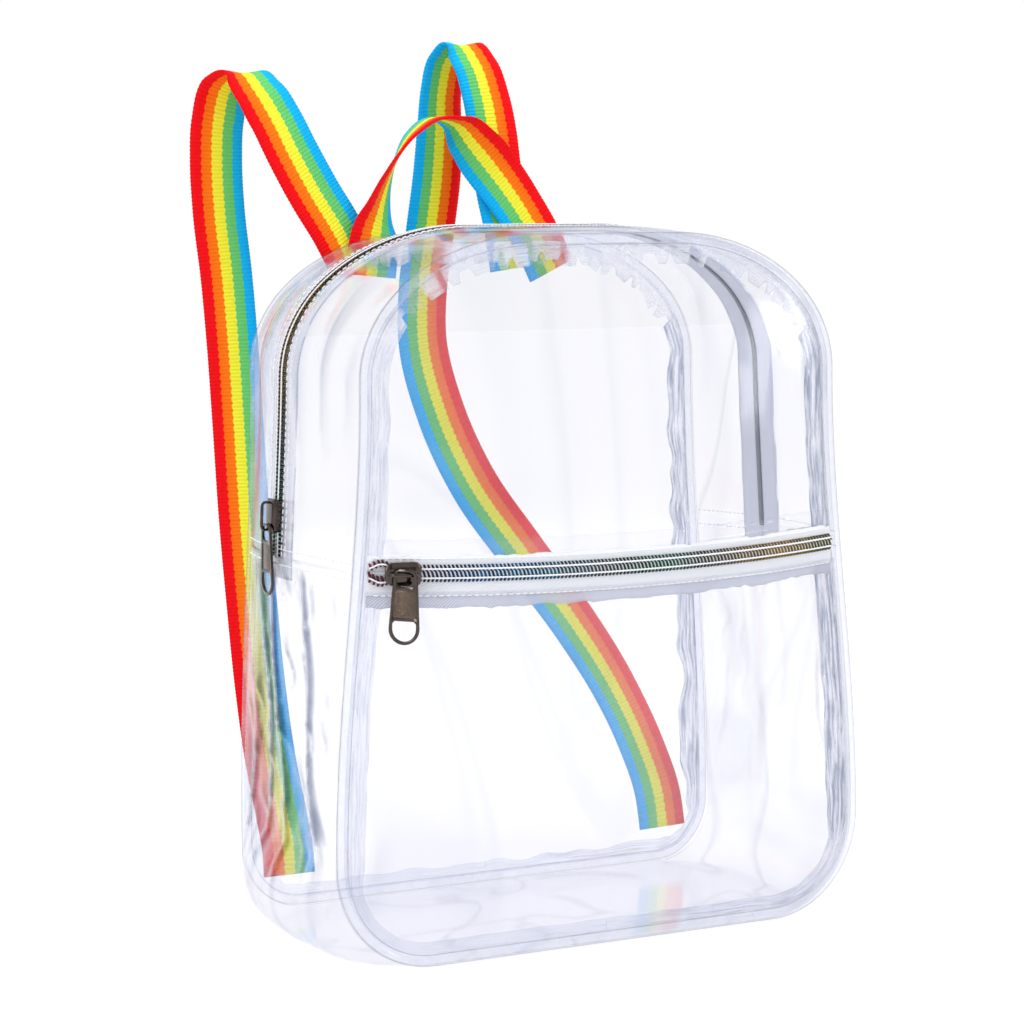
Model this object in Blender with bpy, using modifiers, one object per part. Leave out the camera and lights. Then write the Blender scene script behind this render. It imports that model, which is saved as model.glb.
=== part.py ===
import math

import bpy
import bmesh
import numpy as np
from mathutils import Matrix, Vector

# Clear backpack: X runs across the front, the front faces -Y, Z is up.
# The origin is the middle of the base, on the surface that the bag stands on.

MM = 0.001

# Overall form
HEIGHT = 305 * MM
DEPTH = 130 * MM
LOW_WIDTH = 253 * MM
BACK_LOW_WIDTH = 242 * MM
HIGH_WIDTH = 226 * MM
LOW_CORNER_ACROSS = 44 * MM
LOW_CORNER_UP = 46 * MM
BACK_CORNER_ACROSS = 28 * MM
BACK_CORNER_UP = 30 * MM
TOP_CORNER_ACROSS = 80 * MM
TOP_CORNER_UP = 60 * MM
SEAM_HEIGHT = 168 * MM

# Sheet, edges and clearance
SHEET = 1.0 * MM
GAP = 0.3 * MM
PIPING_WIDTH = 5.0 * MM
PIPING_PROUD = 0.8 * MM
BACK_BULGE = 4.5 * MM
FRONT_BULGE = 11 * MM
GUSSET_BULGE = 7 * MM
CORNER_FILL = 10 * MM
DENT_DEPTH = 3.5 * MM

# Zips
ZIP_FROM_MIDDLE = 9 * MM
SLOT_WIDTH = 9 * MM
TAPE = 1.0 * MM
TAPE_WIDTH = 14 * MM
TAPE_TAIL = 9 * MM
COIL_WIDTH = 6.6 * MM
COIL_TALL = 2.2 * MM
POCKET_SAG = 3 * MM
POCKET_RIM_DROP = 7 * MM

# Sliders and pulls
SLIDER_LENGTH = 15 * MM
SLIDER_WIDTH = 10.5 * MM
SLIDER_TAIL_WIDTH = 9.2 * MM
SLIDER_PLATE = 1.8 * MM
SLIDER_RAIL_DROP = 1.2 * MM
SLIDER_ROUNDING = 2 * MM
SLIDER_CLEARANCE = 0.4 * MM
CROWN_WIDTH = 1.6 * MM
CROWN_OPENING = 10.6 * MM
CROWN_CLEAR = 3.4 * MM
CROWN_BAR = 1.2 * MM
CROWN_ROUNDING = 1.2 * MM
PULL_THICK = 1.2 * MM
PULL_TOP_WIDTH = 9.9 * MM
PULL_LOW_WIDTH = 13 * MM
PULL_LENGTH = 31 * MM
PULL_BAR = 1.2 * MM
PULL_EYE_LENGTH = 6 * MM
PULL_EYE_CLEAR = 1.3 * MM
PULL_HOLE_LENGTH = 8.5 * MM
PULL_ROUNDING = 2.5 * MM
EYE_ROUNDING = 2.2 * MM
HOLE_ROUNDING = 1.5 * MM
POCKET_PULL_TURN = 28
MAIN_SLIDER_HEIGHT = 185 * MM
POCKET_SLIDER_ACROSS = -98 * MM

# Webbing
WEB_WIDTH = 25 * MM
WEB = 1.6 * MM
STRAP_REACH = 40 * MM

# Swell of the sheets over the height, as shares of their bulge
BACK_ROWS = (
    # up, swell
    (0.00, 0.00),
    (0.12, 0.45),
    (0.35, 0.95),
    (0.60, 1.00),
    (0.85, 0.50),
    (1.00, 0.00),
)
FRONT_ROWS = (
    # up, swell
    (0.00, 0.00),
    (0.12, 0.00),
    (0.26, 0.04),
    (0.38, 0.20),
    (0.46, 0.62),
    (0.52, 0.94),
    (0.56, 1.00),
    (0.64, 0.97),
    (0.76, 0.80),
    (0.88, 0.46),
    (0.96, 0.15),
    (1.00, 0.00),
)
POCKET_ROWS = (
    # up, swell
    (0.00, 0.00),
    (0.06, 0.42),
    (0.14, 0.84),
    (0.25, 1.14),
    (0.38, 1.20),
    (0.47, 1.06),
    (0.55, 1.02),
    (1.00, 1.00),
)
GUSSET_ROWS = (
    # up, swell
    (0.00, 0.00),
    (0.02, 0.12),
    (0.06, 0.45),
    (0.12, 0.55),
    (0.20, 0.50),
    (0.40, 0.75),
    (0.55, 1.00),
    (0.75, 1.00),
    (0.90, 0.75),
    (1.00, 0.50),
)


# Dents of the lower side walls. Side is -1 left and +1 right, up and spread_up are shares of the
# seam's height, back and spread_back of half the depth, and push is a share of DENT_DEPTH.
DENT_ROWS = (
    # side, up, back, spread_up, spread_back, push
    (-1, 0.62, -0.25, 0.42, 0.22, 1.00),
    (-1, 0.40, 0.42, 0.35, 0.20, 0.70),
    (-1, 0.78, 0.60, 0.20, 0.25, 0.45),
    (1, 0.55, 0.10, 0.40, 0.30, 0.80),
)

# Centre lines of the webbing. Across is a share of half the low width, out of STRAP_REACH behind
# the back, up of the height. Turn is the plan direction of the outer edge, in degrees.
LEFT_STRAP_ROWS = (
    # across, out, up, turn
    (-0.450, 0.090, 0.944, 180),
    (-0.490, 0.094, 0.974, 180),
    (-0.533, 0.100, 1.007, 180),
    (-0.606, 0.112, 1.055, 180),
    (-0.688, 0.130, 1.116, 180),
    (-0.751, 0.175, 1.170, 181),
    (-0.802, 0.245, 1.208, 184),
    (-0.838, 0.400, 1.233, 188),
    (-0.876, 0.590, 1.219, 185),
    (-0.903, 0.700, 1.166, 180),
    (-0.903, 0.775, 1.112, 180),
    (-0.888, 0.850, 1.035, 180),
    (-0.855, 0.925, 0.939, 180),
    (-0.829, 0.975, 0.824, 180),
    (-0.813, 1.000, 0.721, 180),
    (-0.796, 0.990, 0.570, 180),
    (-0.780, 0.930, 0.440, 180),
    (-0.770, 0.800, 0.320, 180),
    (-0.764, 0.560, 0.210, 180),
    (-0.762, 0.250, 0.130, 180),
    (-0.762, 0.080, 0.085, 180),
    (-0.762, 0.040, 0.045, 180),
)
RIGHT_STRAP_ROWS = (
    # across, out, up, turn
    (0.172, 0.083, 0.944, 0),
    (0.160, 0.085, 0.980, 0),
    (0.148, 0.105, 1.013, 0),
    (0.132, 0.160, 1.057, 0),
    (0.123, 0.215, 1.105, 0),
    (0.116, 0.265, 1.152, 0),
    (0.098, 0.320, 1.206, 4),
    (0.066, 0.400, 1.255, 8),
    (0.032, 0.530, 1.281, 12),
    (0.004, 0.670, 1.263, 15),
    (-0.019, 0.750, 1.214, 16),
    (-0.023, 0.775, 1.168, 11),
    (-0.028, 0.825, 1.091, 2),
    (-0.047, 0.900, 1.006, 0),
    (-0.071, 0.960, 0.918, 0),
    (-0.070, 1.000, 0.830, 0),
    (0.000, 1.030, 0.725, 0),
    (0.140, 1.040, 0.605, 0),
    (0.340, 1.000, 0.490, 0),
    (0.530, 0.880, 0.380, 0),
    (0.670, 0.660, 0.275, 0),
    (0.745, 0.360, 0.180, 0),
    (0.775, 0.120, 0.105, 0),
    (0.782, 0.040, 0.050, 0),
)
HANDLE_ROWS = (
    # across, out, up, turn
    (-0.411, 0.032, 0.936, 180),
    (-0.402, 0.032, 0.968, 180),
    (-0.388, 0.050, 1.000, 192),
    (-0.370, 0.085, 1.026, 214),
    (-0.332, 0.125, 1.072, 234),
    (-0.288, 0.138, 1.110, 247),
    (-0.221, 0.143, 1.148, 261),
    (-0.134, 0.138, 1.170, 272),
    (-0.055, 0.115, 1.163, 290),
    (0.010, 0.080, 1.132, 317),
    (0.078, 0.050, 1.096, 345),
    (0.172, 0.036, 1.045, 359),
    (0.265, 0.032, 0.984, 360),
    (0.318, 0.032, 0.940, 360),
)

# Values worked out from the sizes above
HALF_DEPTH = DEPTH / 2
HALF_LOW = LOW_WIDTH / 2
HALF_HIGH = HIGH_WIDTH / 2
PIPING_CENTRE = PIPING_WIDTH / 2 + GAP
PANEL_INSET = PIPING_WIDTH + 2 * GAP
GUSSET_EDGE = HALF_DEPTH - PANEL_INSET
FRONT_LAYER = PIPING_CENTRE + SHEET / 2
TAPE_LAYER = FRONT_LAYER - TAPE - GAP
POCKET_LAYER = TAPE_LAYER - SHEET - GAP
BACK_LAYER = PIPING_CENTRE - SHEET / 2

# Curve forms, and how finely the sheets are divided
RIM_POWER = 2.4
SEAM_FADE_POWER = 4
COIL_SHOULDER = 0.6
COIL_CROWN = 0.7
POINTS_PER_STRETCH = 40
INSET_POINTS_COUNT = 240
LOW_CORNER_STEPS = 6
SIDE_STEPS = 7
TOP_CORNER_STEPS = 6
FRONT_COLUMNS = 12
BACK_COLUMNS = 10
LOWER_STEPS = 40
UPPER_STEPS = 36
LOWER_COLUMNS = 8
UPPER_COLUMNS = 4
POCKET_TAPE_STEPS = 16
POCKET_COIL_STEPS = 24
HANDLE_STEPS = 30
STRAP_STEPS = 58
ARC_STEPS = 12
CORNER_STEPS = 4


def smooth_rows(rows, where):
    # Cubic curve through the rows, whose first column is the place along it
    table = np.array(rows, dtype=float)
    places = table[:, 0]
    slopes = np.gradient(table[:, 1:], places, axis=0)
    slopes[0] = slopes[-1] = 0
    where = min(max(where, places[0]), places[-1])
    low = min(int(np.searchsorted(places, where, side="right")) - 1, len(places) - 2)
    span = places[low + 1] - places[low]
    t = (where - places[low]) / span
    return (
        (2 * t**3 - 3 * t**2 + 1) * table[low, 1:]
        + (t**3 - 2 * t**2 + t) * span * slopes[low]
        + (3 * t**2 - 2 * t**3) * table[low + 1, 1:]
        + (t**3 - t**2) * span * slopes[low + 1]
    )


def swell_share(rows, up):
    return float(smooth_rows(rows, up)[0])


def right_half(low_width, corner_across, corner_up):
    # Right half of an outline, from the bottom centre to the top centre. The low corner's height
    # is taken up in the lower part of the side, so that the stations above are level.
    quarter = np.linspace(0, math.pi / 2, POINTS_PER_STRETCH)
    climb = np.linspace(0, 1, POINTS_PER_STRETCH)
    ease = climb * climb * (3 - 2 * climb)
    half_low = low_width / 2
    low_x = half_low - corner_across
    high_x = HALF_HIGH - TOP_CORNER_ACROSS
    high_z = HEIGHT - TOP_CORNER_UP
    bottom = [(low_x * t, 0) for t in climb]
    low = [
        (low_x + corner_across * math.sin(a), corner_up * (1 - math.cos(a)))
        for a in quarter
    ]
    side_z = LOW_CORNER_UP + (high_z - LOW_CORNER_UP) * climb
    side_z -= (LOW_CORNER_UP - corner_up) * (1 - climb) ** 3
    side = [(half_low + (HALF_HIGH - half_low) * e, z) for e, z in zip(ease, side_z)]
    high = [
        (high_x + TOP_CORNER_ACROSS * math.cos(a), high_z + TOP_CORNER_UP * math.sin(a))
        for a in quarter
    ]
    top = [(high_x * (1 - t), HEIGHT) for t in climb]
    points = bottom
    for stretch in (low, side, high, top):
        points = points + stretch[1:]
    return np.array(points)


FRONT_OUTLINE = right_half(LOW_WIDTH, LOW_CORNER_ACROSS, LOW_CORNER_UP)
BACK_OUTLINE = right_half(BACK_LOW_WIDTH, BACK_CORNER_ACROSS, BACK_CORNER_UP)
STEPS = np.hypot(*np.diff(FRONT_OUTLINE, axis=0).T)
RUN = np.concatenate(([0.0], np.cumsum(STEPS)))
HALF_LOOP = float(RUN[-1])
FRONT_SLOPES = np.gradient(FRONT_OUTLINE, RUN, axis=0)
BACK_SLOPES = np.gradient(BACK_OUTLINE, RUN, axis=0)
CORNER_START = float(RUN[POINTS_PER_STRETCH - 1])
CORNER_END = float(RUN[4 * (POINTS_PER_STRETCH - 1)])


def run_at_height(height):
    return float(np.interp(height, FRONT_OUTLINE[:, 1], RUN))


def between_outlines(run, front, back, share):
    values = []
    for column in (0, 1):
        near = np.interp(run, RUN, front[:, column])
        far = np.interp(run, RUN, back[:, column])
        values.append(float(near + (far - near) * share))
    return values


def on_outline(run, y):
    # Point and outward normal, in x and z, of the outline at a depth. The run is measured on the
    # front outline. It is 0 at the bottom centre, positive to the right, and passes over the top
    # beyond half the loop.
    run = (run + HALF_LOOP) % (2 * HALF_LOOP) - HALF_LOOP
    side = -1 if run < 0 else 1
    share = min(max((y + HALF_DEPTH) / DEPTH, 0), 1)
    x, z = between_outlines(abs(run), FRONT_OUTLINE, BACK_OUTLINE, share)
    slope_x, slope_z = between_outlines(abs(run), FRONT_SLOPES, BACK_SLOPES, share)
    length = math.hypot(slope_x, slope_z)
    return side * x, z, side * slope_z / length, -slope_x / length


def inset_outline(run, inset, y):
    x, z, normal_x, normal_z = on_outline(run, y)
    return x - normal_x * inset, z - normal_z * inset


def inset_points(y):
    runs = np.linspace(CORNER_START, CORNER_END, INSET_POINTS_COUNT)
    return np.array([inset_outline(run, PANEL_INSET, y) for run in runs])


FRONT_OPENING = inset_points(-HALF_DEPTH)
BACK_OPENING = inset_points(HALF_DEPTH)


def half_width(height, opening=FRONT_OPENING):
    # Half the width of a panel's opening between the pipings
    return float(np.interp(height, opening[:, 1], opening[:, 0]))


def rim_fade(x, half):
    return 1 - min(abs(x) / half, 1.0) ** RIM_POWER


def front_y(x, height, rows, layer):
    swell = FRONT_BULGE * swell_share(rows, height / HEIGHT)
    swell *= rim_fade(x, half_width(height))
    return -HALF_DEPTH + layer - swell


def zip_y(x, layer):
    return -HALF_DEPTH + layer - FRONT_BULGE * rim_fade(x, half_width(SEAM_HEIGHT))


def zip_height(x):
    share = x / half_width(SEAM_HEIGHT)
    return SEAM_HEIGHT - POCKET_SAG * (1 - share * share)


def back_y(x, height):
    swell = BACK_BULGE * swell_share(BACK_ROWS, height / HEIGHT)
    swell *= rim_fade(x, half_width(height, BACK_OPENING))
    return HALF_DEPTH - BACK_LAYER + swell


def gusset_lift(x, z, y):
    # How far the gusset's outer face stands out from the outline
    across_depth = y / GUSSET_EDGE
    off_floor = min(1.0, z / LOW_CORNER_UP)
    lift = GUSSET_BULGE * swell_share(GUSSET_ROWS, z / HEIGHT) * (1 - across_depth**2)
    lift -= PIPING_PROUD * off_floor
    corner_angle = math.acos(1 - off_floor)
    lift += CORNER_FILL * math.sin(2 * corner_angle) * (1 - across_depth**4)
    for side, up, back, spread_up, spread_back, push in DENT_ROWS:
        if side * x <= 0 or z > SEAM_HEIGHT:
            continue
        away_up = (z / SEAM_HEIGHT - up) / spread_up
        away_back = (across_depth - back) / spread_back
        fade = off_floor * (1 - (z / SEAM_HEIGHT) ** SEAM_FADE_POWER)
        lift -= DENT_DEPTH * push * fade * math.exp(-(away_up**2) - away_back**2)
    return lift


def on_gusset(run, y, lift=0.0):
    # A point on the gusset, which is nowhere lower than the floor
    x, z, normal_x, normal_z = on_outline(run, y)
    out = gusset_lift(x, z, y) + lift
    if normal_z < 0:
        out = min(out, -z / normal_z)
    return Vector((x + normal_x * out, y, z + normal_z * out))


def spread(start, stop, count):
    return [start + (stop - start) * i / count for i in range(count + 1)]


def make_material(name, colour, roughness, metallic=0.0, alpha=1.0):
    material = bpy.data.materials.new(name)
    material.use_nodes = True
    shader = material.node_tree.nodes["Principled BSDF"]
    shader.inputs["Base Color"].default_value = (*colour, 1)
    shader.inputs["Roughness"].default_value = roughness
    shader.inputs["Metallic"].default_value = metallic
    shader.inputs["Alpha"].default_value = alpha
    material.diffuse_color = (*colour, alpha)
    return material


def add_object(name, mesh, material, collection):
    obj = bpy.data.objects.new(name, mesh)
    collection.objects.link(obj)
    if material:
        mesh.materials.append(material)
    return obj


def mesh_from(name, points, faces):
    mesh = bpy.data.meshes.new(name)
    mesh.from_pydata([tuple(point) for point in points], [], faces)
    mesh.update()
    return mesh


def add_sheet(name, material, place, firsts, seconds, thickness, offset=-1.0):
    # A sheet over two lists of parameters. Its outer face looks along first x second.
    points = [place(first, second) for first in firsts for second in seconds]
    wide = len(seconds)
    faces = []
    for i in range(len(firsts) - 1):
        for j in range(wide - 1):
            corner = i * wide + j
            faces.append((corner, corner + wide, corner + wide + 1, corner + 1))
    obj = add_object(name, mesh_from(name, points, faces), material, PARTS)
    obj.data.shade_smooth()
    wall = obj.modifiers.new("Wall", "SOLIDIFY")
    wall.thickness = thickness
    wall.offset = offset
    wall.use_even_offset = True
    return obj


def add_swept(name, material, centres, sides, outs, section):
    # A closed section of (side, out) points carried along the centres
    points = []
    for centre, side, out in zip(centres, sides, outs):
        points += [centre + side * a + out * b for a, b in section]
    ring = len(section)
    faces = [tuple(reversed(range(ring)))]
    for i in range(len(centres) - 1):
        for j in range(ring):
            k = (j + 1) % ring
            faces.append((i * ring + j, i * ring + k, (i + 1) * ring + k, (i + 1) * ring + j))
    faces.append(tuple(range((len(centres) - 1) * ring, len(centres) * ring)))
    mesh = mesh_from(name, points, faces)
    shape = bmesh.new()
    shape.from_mesh(mesh)
    bmesh.ops.recalc_face_normals(shape, faces=shape.faces)
    shape.to_mesh(mesh)
    shape.free()
    return add_object(name, mesh, material, PARTS)


def add_piping(name, material, y):
    curve = bpy.data.curves.new(name, "CURVE")
    curve.dimensions = "3D"
    curve.bevel_depth = PIPING_WIDTH / 2
    curve.bevel_resolution = 2
    right = panel_runs(CORNER_START, CORNER_END)
    runs = right + [2 * HALF_LOOP - run for run in reversed(right)]
    spline = curve.splines.new("POLY")
    spline.points.add(len(runs) - 1)
    for point, run in zip(spline.points, runs):
        x, z = inset_outline(run, PIPING_CENTRE, y)
        point.co = (x, y, z, 1)
    spline.use_cyclic_u = True
    obj = bpy.data.objects.new(name, curve)
    PARTS.objects.link(obj)
    curve.materials.append(material)
    return obj


def ribbon_frames(rows, carrier, count):
    # Centre, width direction and way along the webbing, at even steps. The carrier is the least y
    # of the centre line at a place, where the webbing lies on what is below it.
    points = []
    for across, out, up, turn in rows:
        x = across * HALF_LOW
        z = up * HEIGHT
        y = max(HALF_DEPTH + out * STRAP_REACH, carrier(x, z))
        points.append((x, y, z, turn))
    table = np.array(points)
    steps = np.linalg.norm(np.diff(table[:, :3], axis=0), axis=1)
    along = np.concatenate(([0.0], np.cumsum(steps)))
    curve = np.column_stack((along, table))
    places = np.linspace(0, along[-1], count + 1)
    centres = [Vector(smooth_rows(curve, place)[:3]) for place in places]
    turns = [math.radians(smooth_rows(curve, place)[3]) for place in places]
    frames = []
    for i, centre in enumerate(centres):
        ahead = centres[min(i + 1, count)] - centres[max(i - 1, 0)]
        ahead.normalize()
        side = Vector((math.cos(turns[i]), math.sin(turns[i]), 0))
        side -= ahead * side.dot(ahead)
        frames.append((centre, side.normalized(), ahead))
    return frames


def add_webbing(name, material, rows, carrier, count):
    frames = ribbon_frames(rows, carrier, count)

    def place(i, across):
        centre, side, _ = frames[i]
        return centre + side * (across * WEB_WIDTH / 2)

    return add_sheet(name, material, place, range(count + 1), (-1, 0, 1), WEB, offset=0)


def flat_mesh(name, loops, thickness):
    # A flat plate in its own XY plane, with the later loops as holes
    curve = bpy.data.curves.new(name, "CURVE")
    curve.dimensions = "2D"
    curve.fill_mode = "BOTH"
    curve.extrude = thickness / 2
    for loop in loops:
        spline = curve.splines.new("POLY")
        spline.points.add(len(loop) - 1)
        for point, (x, y) in zip(spline.points, loop):
            point.co = (x, y, 0, 1)
        spline.use_cyclic_u = True
    maker = bpy.data.objects.new(name, curve)
    PARTS.objects.link(maker)
    shown = maker.evaluated_get(bpy.context.evaluated_depsgraph_get())
    mesh = bpy.data.meshes.new_from_object(shown)
    bpy.data.objects.remove(maker)
    shape = bmesh.new()
    shape.from_mesh(mesh)
    bmesh.ops.remove_doubles(shape, verts=shape.verts, dist=MM / 100)
    bmesh.ops.recalc_face_normals(shape, faces=shape.faces)
    shape.to_mesh(mesh)
    shape.free()
    mesh.name = name
    return mesh


def rounded_corner(before, corner, after, radius):
    # Points round one corner, by an arc of the radius or less
    corner = Vector(corner)
    to_before = Vector(before) - corner
    to_after = Vector(after) - corner
    half_angle = to_before.angle(to_after) / 2
    room = min(to_before.length, to_after.length) / 2 - MM / 100
    reach = min(radius / math.tan(half_angle), room)
    start = corner + to_before.normalized() * reach
    stop = corner + to_after.normalized() * reach
    points = []
    for t in spread(0, 1, CORNER_STEPS):
        point = start * (1 - t) ** 2 + corner * 2 * t * (1 - t) + stop * t**2
        points.append((point.x, point.y))
    return points


def rounded_run(corners, radius):
    # An open run whose ends stay sharp
    run = [corners[0]]
    for before, corner, after in zip(corners, corners[1:], corners[2:]):
        run += rounded_corner(before, corner, after, radius)
    return run + [corners[-1]]


def rounded_loop(corners, radius):
    loop = []
    for i, corner in enumerate(corners):
        after = corners[(i + 1) % len(corners)]
        loop += rounded_corner(corners[i - 1], corner, after, radius)
    return loop


def add_cutter(name, size, matrix):
    mesh = bpy.data.meshes.new(name)
    shape = bmesh.new()
    bmesh.ops.create_cube(shape, size=1, matrix=Matrix.Diagonal((*size, 1)))
    shape.to_mesh(mesh)
    shape.free()
    obj = add_object(name, mesh, None, CUTTERS)
    obj.matrix_world = matrix
    obj.hide_render = True
    obj.display_type = "WIRE"
    return obj


def frame_matrix(origin, along, across, out):
    matrix = Matrix((along, across, out)).transposed().to_4x4()
    matrix.translation = origin
    return matrix


def join(obj, other, operation):
    change = obj.modifiers.new(operation.title(), "BOOLEAN")
    change.operation = operation
    change.object = other


def add_slider(name, material, matrix):
    # The body straddles the coil. The frame's origin is on the coil's face plus the gap, with X
    # along the zip, Y across it and Z outwards.
    nose = SLIDER_LENGTH / 2
    body_corners = (
        (-nose, -SLIDER_TAIL_WIDTH / 2),
        (nose * 0.2, -SLIDER_WIDTH / 2),
        (nose, -SLIDER_WIDTH / 2),
        (nose, SLIDER_WIDTH / 2),
        (nose * 0.2, SLIDER_WIDTH / 2),
        (-nose, SLIDER_TAIL_WIDTH / 2),
    )
    tall = SLIDER_PLATE + SLIDER_RAIL_DROP
    mesh = flat_mesh(name, [rounded_loop(body_corners, SLIDER_ROUNDING)], tall)
    body = add_object(name, mesh, material, PARTS)
    body.matrix_world = matrix @ Matrix.Translation((0, 0, tall / 2 - SLIDER_RAIL_DROP))
    channel = (2 * SLIDER_LENGTH, COIL_WIDTH + 2 * SLIDER_CLEARANCE, 4 * SLIDER_RAIL_DROP)
    channel_place = matrix @ Matrix.Translation((0, 0, -channel[2] / 2))
    join(body, add_cutter(name + "_channel", channel, channel_place), "DIFFERENCE")
    inner = CROWN_OPENING / 2
    outer = inner + CROWN_BAR
    foot = SLIDER_PLATE / 2
    under = SLIDER_PLATE + CROWN_CLEAR
    top = under + CROWN_BAR
    profile = rounded_run(
        ((-outer, foot), (-outer, top), (outer, top), (outer, foot)), CROWN_ROUNDING + CROWN_BAR
    )
    profile += rounded_run(
        ((inner, foot), (inner, under), (-inner, under), (-inner, foot)), CROWN_ROUNDING
    )
    crown_mesh = flat_mesh(name + "_crown", [profile], CROWN_WIDTH)
    crown = add_object(name + "_crown", crown_mesh, None, CUTTERS)
    crown.matrix_world = matrix @ Matrix.Rotation(math.pi / 2, 4, "X")
    crown.hide_render = True
    crown.display_type = "WIRE"
    join(body, crown, "UNION")
    return body


def pull_loops():
    # The pull hangs down its own -Y. Its origin is on the axis of a bar that fills the eye's clear
    # end, so the eye's end bar starts at PULL_EYE_CLEAR above it.
    top = PULL_EYE_CLEAR + PULL_BAR
    low = top - PULL_LENGTH
    wide = PULL_TOP_WIDTH / 2
    low_wide = PULL_LOW_WIDTH / 2
    centre = low + low_wide
    hole_wide = low_wide - PULL_BAR
    hole_top = low + PULL_BAR + PULL_HOLE_LENGTH
    outer = lower_arc(low_wide, centre) + rounded_run(
        ((-low_wide, centre), (-wide, top), (wide, top), (low_wide, centre)), PULL_ROUNDING
    )[1:-1]
    hole = lower_arc(hole_wide, centre) + rounded_run(
        ((-hole_wide, centre), (-hole_wide, hole_top), (hole_wide, hole_top), (hole_wide, centre)),
        HOLE_ROUNDING,
    )[1:-1]
    eye_wide = wide - PULL_BAR
    eye_low = PULL_EYE_CLEAR - PULL_EYE_LENGTH
    eye_ends = ((-1, PULL_EYE_CLEAR), (1, PULL_EYE_CLEAR), (1, eye_low), (-1, eye_low))
    eye = rounded_loop([(side * eye_wide, up) for side, up in eye_ends], EYE_ROUNDING)
    return [outer, eye, hole]


def lower_arc(radius, centre):
    # Half a circle below its centre, from right to left
    angles = spread(0, math.pi, ARC_STEPS)
    return [(radius * math.cos(a), centre - radius * math.sin(a)) for a in angles]


def add_pull(name, material, matrix):
    obj = add_object(name, flat_mesh(name, pull_loops(), PULL_THICK), material, PARTS)
    obj.matrix_world = matrix
    return obj


def panel_runs(start, stop):
    # The same stations for the panels and the pipings, so that their corners match
    low_end = run_at_height(LOW_CORNER_UP)
    high_start = run_at_height(HEIGHT - TOP_CORNER_UP)
    runs = spread(start, low_end, LOW_CORNER_STEPS)
    runs += spread(low_end, min(high_start, stop), SIDE_STEPS)[1:]
    if stop > high_start:
        runs += spread(high_start, stop, TOP_CORNER_STEPS)[1:]
    return runs


def add_front_panel(material):
    runs = panel_runs(CORNER_START, CORNER_END)

    def place(run, across):
        x, z = inset_outline(run, PANEL_INSET, -HALF_DEPTH + PIPING_CENTRE)
        return Vector((x * across, front_y(x * across, z, FRONT_ROWS, FRONT_LAYER), z))

    add_sheet("front_panel", material, place, runs, spread(1, -1, FRONT_COLUMNS), SHEET)


def add_pocket_panel(material):
    rim = SEAM_HEIGHT - POCKET_RIM_DROP
    runs = panel_runs(CORNER_START, run_at_height(rim))

    def place(run, across):
        x, z = inset_outline(run, PANEL_INSET, -HALF_DEPTH + PIPING_CENTRE)
        low = z - POCKET_SAG * (1 - across * across) * z / rim
        low = max(low, PANEL_INSET)
        return Vector((x * across, front_y(x * across, z, POCKET_ROWS, POCKET_LAYER), low))

    add_sheet("pocket_panel", material, place, runs, spread(1, -1, FRONT_COLUMNS), SHEET)


def add_back_panel(material):
    runs = panel_runs(CORNER_START, CORNER_END)

    def place(run, across):
        x, z = inset_outline(run, PANEL_INSET, HALF_DEPTH - PIPING_CENTRE)
        return Vector((x * across, back_y(x * across, z), z))

    add_sheet("back_panel", material, place, runs, spread(-1, 1, BACK_COLUMNS), SHEET)


def upper_runs():
    # From the left side seam over the top to the right one
    seam = run_at_height(SEAM_HEIGHT)
    return spread(2 * HALF_LOOP - seam - GAP / 2, seam + GAP / 2, UPPER_STEPS)


def add_gussets(material):
    seam = run_at_height(SEAM_HEIGHT)
    low_runs = spread(seam - GAP / 2, -seam + GAP / 2, LOWER_STEPS)
    high_runs = upper_runs()
    low_ys = spread(-GUSSET_EDGE, GUSSET_EDGE, LOWER_COLUMNS)
    front_ys = spread(-GUSSET_EDGE, ZIP_FROM_MIDDLE - SLOT_WIDTH / 2, UPPER_COLUMNS)
    back_ys = spread(ZIP_FROM_MIDDLE + SLOT_WIDTH / 2, GUSSET_EDGE, UPPER_COLUMNS)
    add_sheet("lower_gusset", material, on_gusset, low_runs, low_ys, SHEET)
    add_sheet("upper_gusset_front", material, on_gusset, high_runs, front_ys, SHEET)
    add_sheet("upper_gusset_back", material, on_gusset, high_runs, back_ys, SHEET)


def add_main_zip(tape_material, coil_material):
    coil_runs = upper_runs()
    tape_runs = [coil_runs[0] + TAPE_TAIL] + coil_runs + [coil_runs[-1] - TAPE_TAIL]
    under = -SHEET - GAP

    def tape_place(run, y):
        return on_gusset(run, y, under)

    front_ys = spread(ZIP_FROM_MIDDLE - TAPE_WIDTH, ZIP_FROM_MIDDLE - GAP / 2, 2)
    back_ys = spread(ZIP_FROM_MIDDLE + GAP / 2, ZIP_FROM_MIDDLE + TAPE_WIDTH, 2)
    add_sheet("main_zip_tape_front", tape_material, tape_place, tape_runs, front_ys, TAPE)
    add_sheet("main_zip_tape_back", tape_material, tape_place, tape_runs, back_ys, TAPE)
    centres, outs = [], []
    for run in coil_runs:
        frame = gusset_frame(run, ZIP_FROM_MIDDLE, under + GAP)
        centres.append(frame.translation)
        outs.append(frame.to_3x3().col[2])
    sides = [Vector((0, 1, 0))] * len(centres)
    add_swept("main_zip_coil", coil_material, centres, sides, outs, coil_section())


def coil_section():
    half = COIL_WIDTH / 2
    return (
        (-half, 0),
        (half, 0),
        (half, COIL_TALL * COIL_SHOULDER),
        (half * COIL_CROWN, COIL_TALL),
        (-half * COIL_CROWN, COIL_TALL),
        (-half, COIL_TALL * COIL_SHOULDER),
    )


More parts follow.
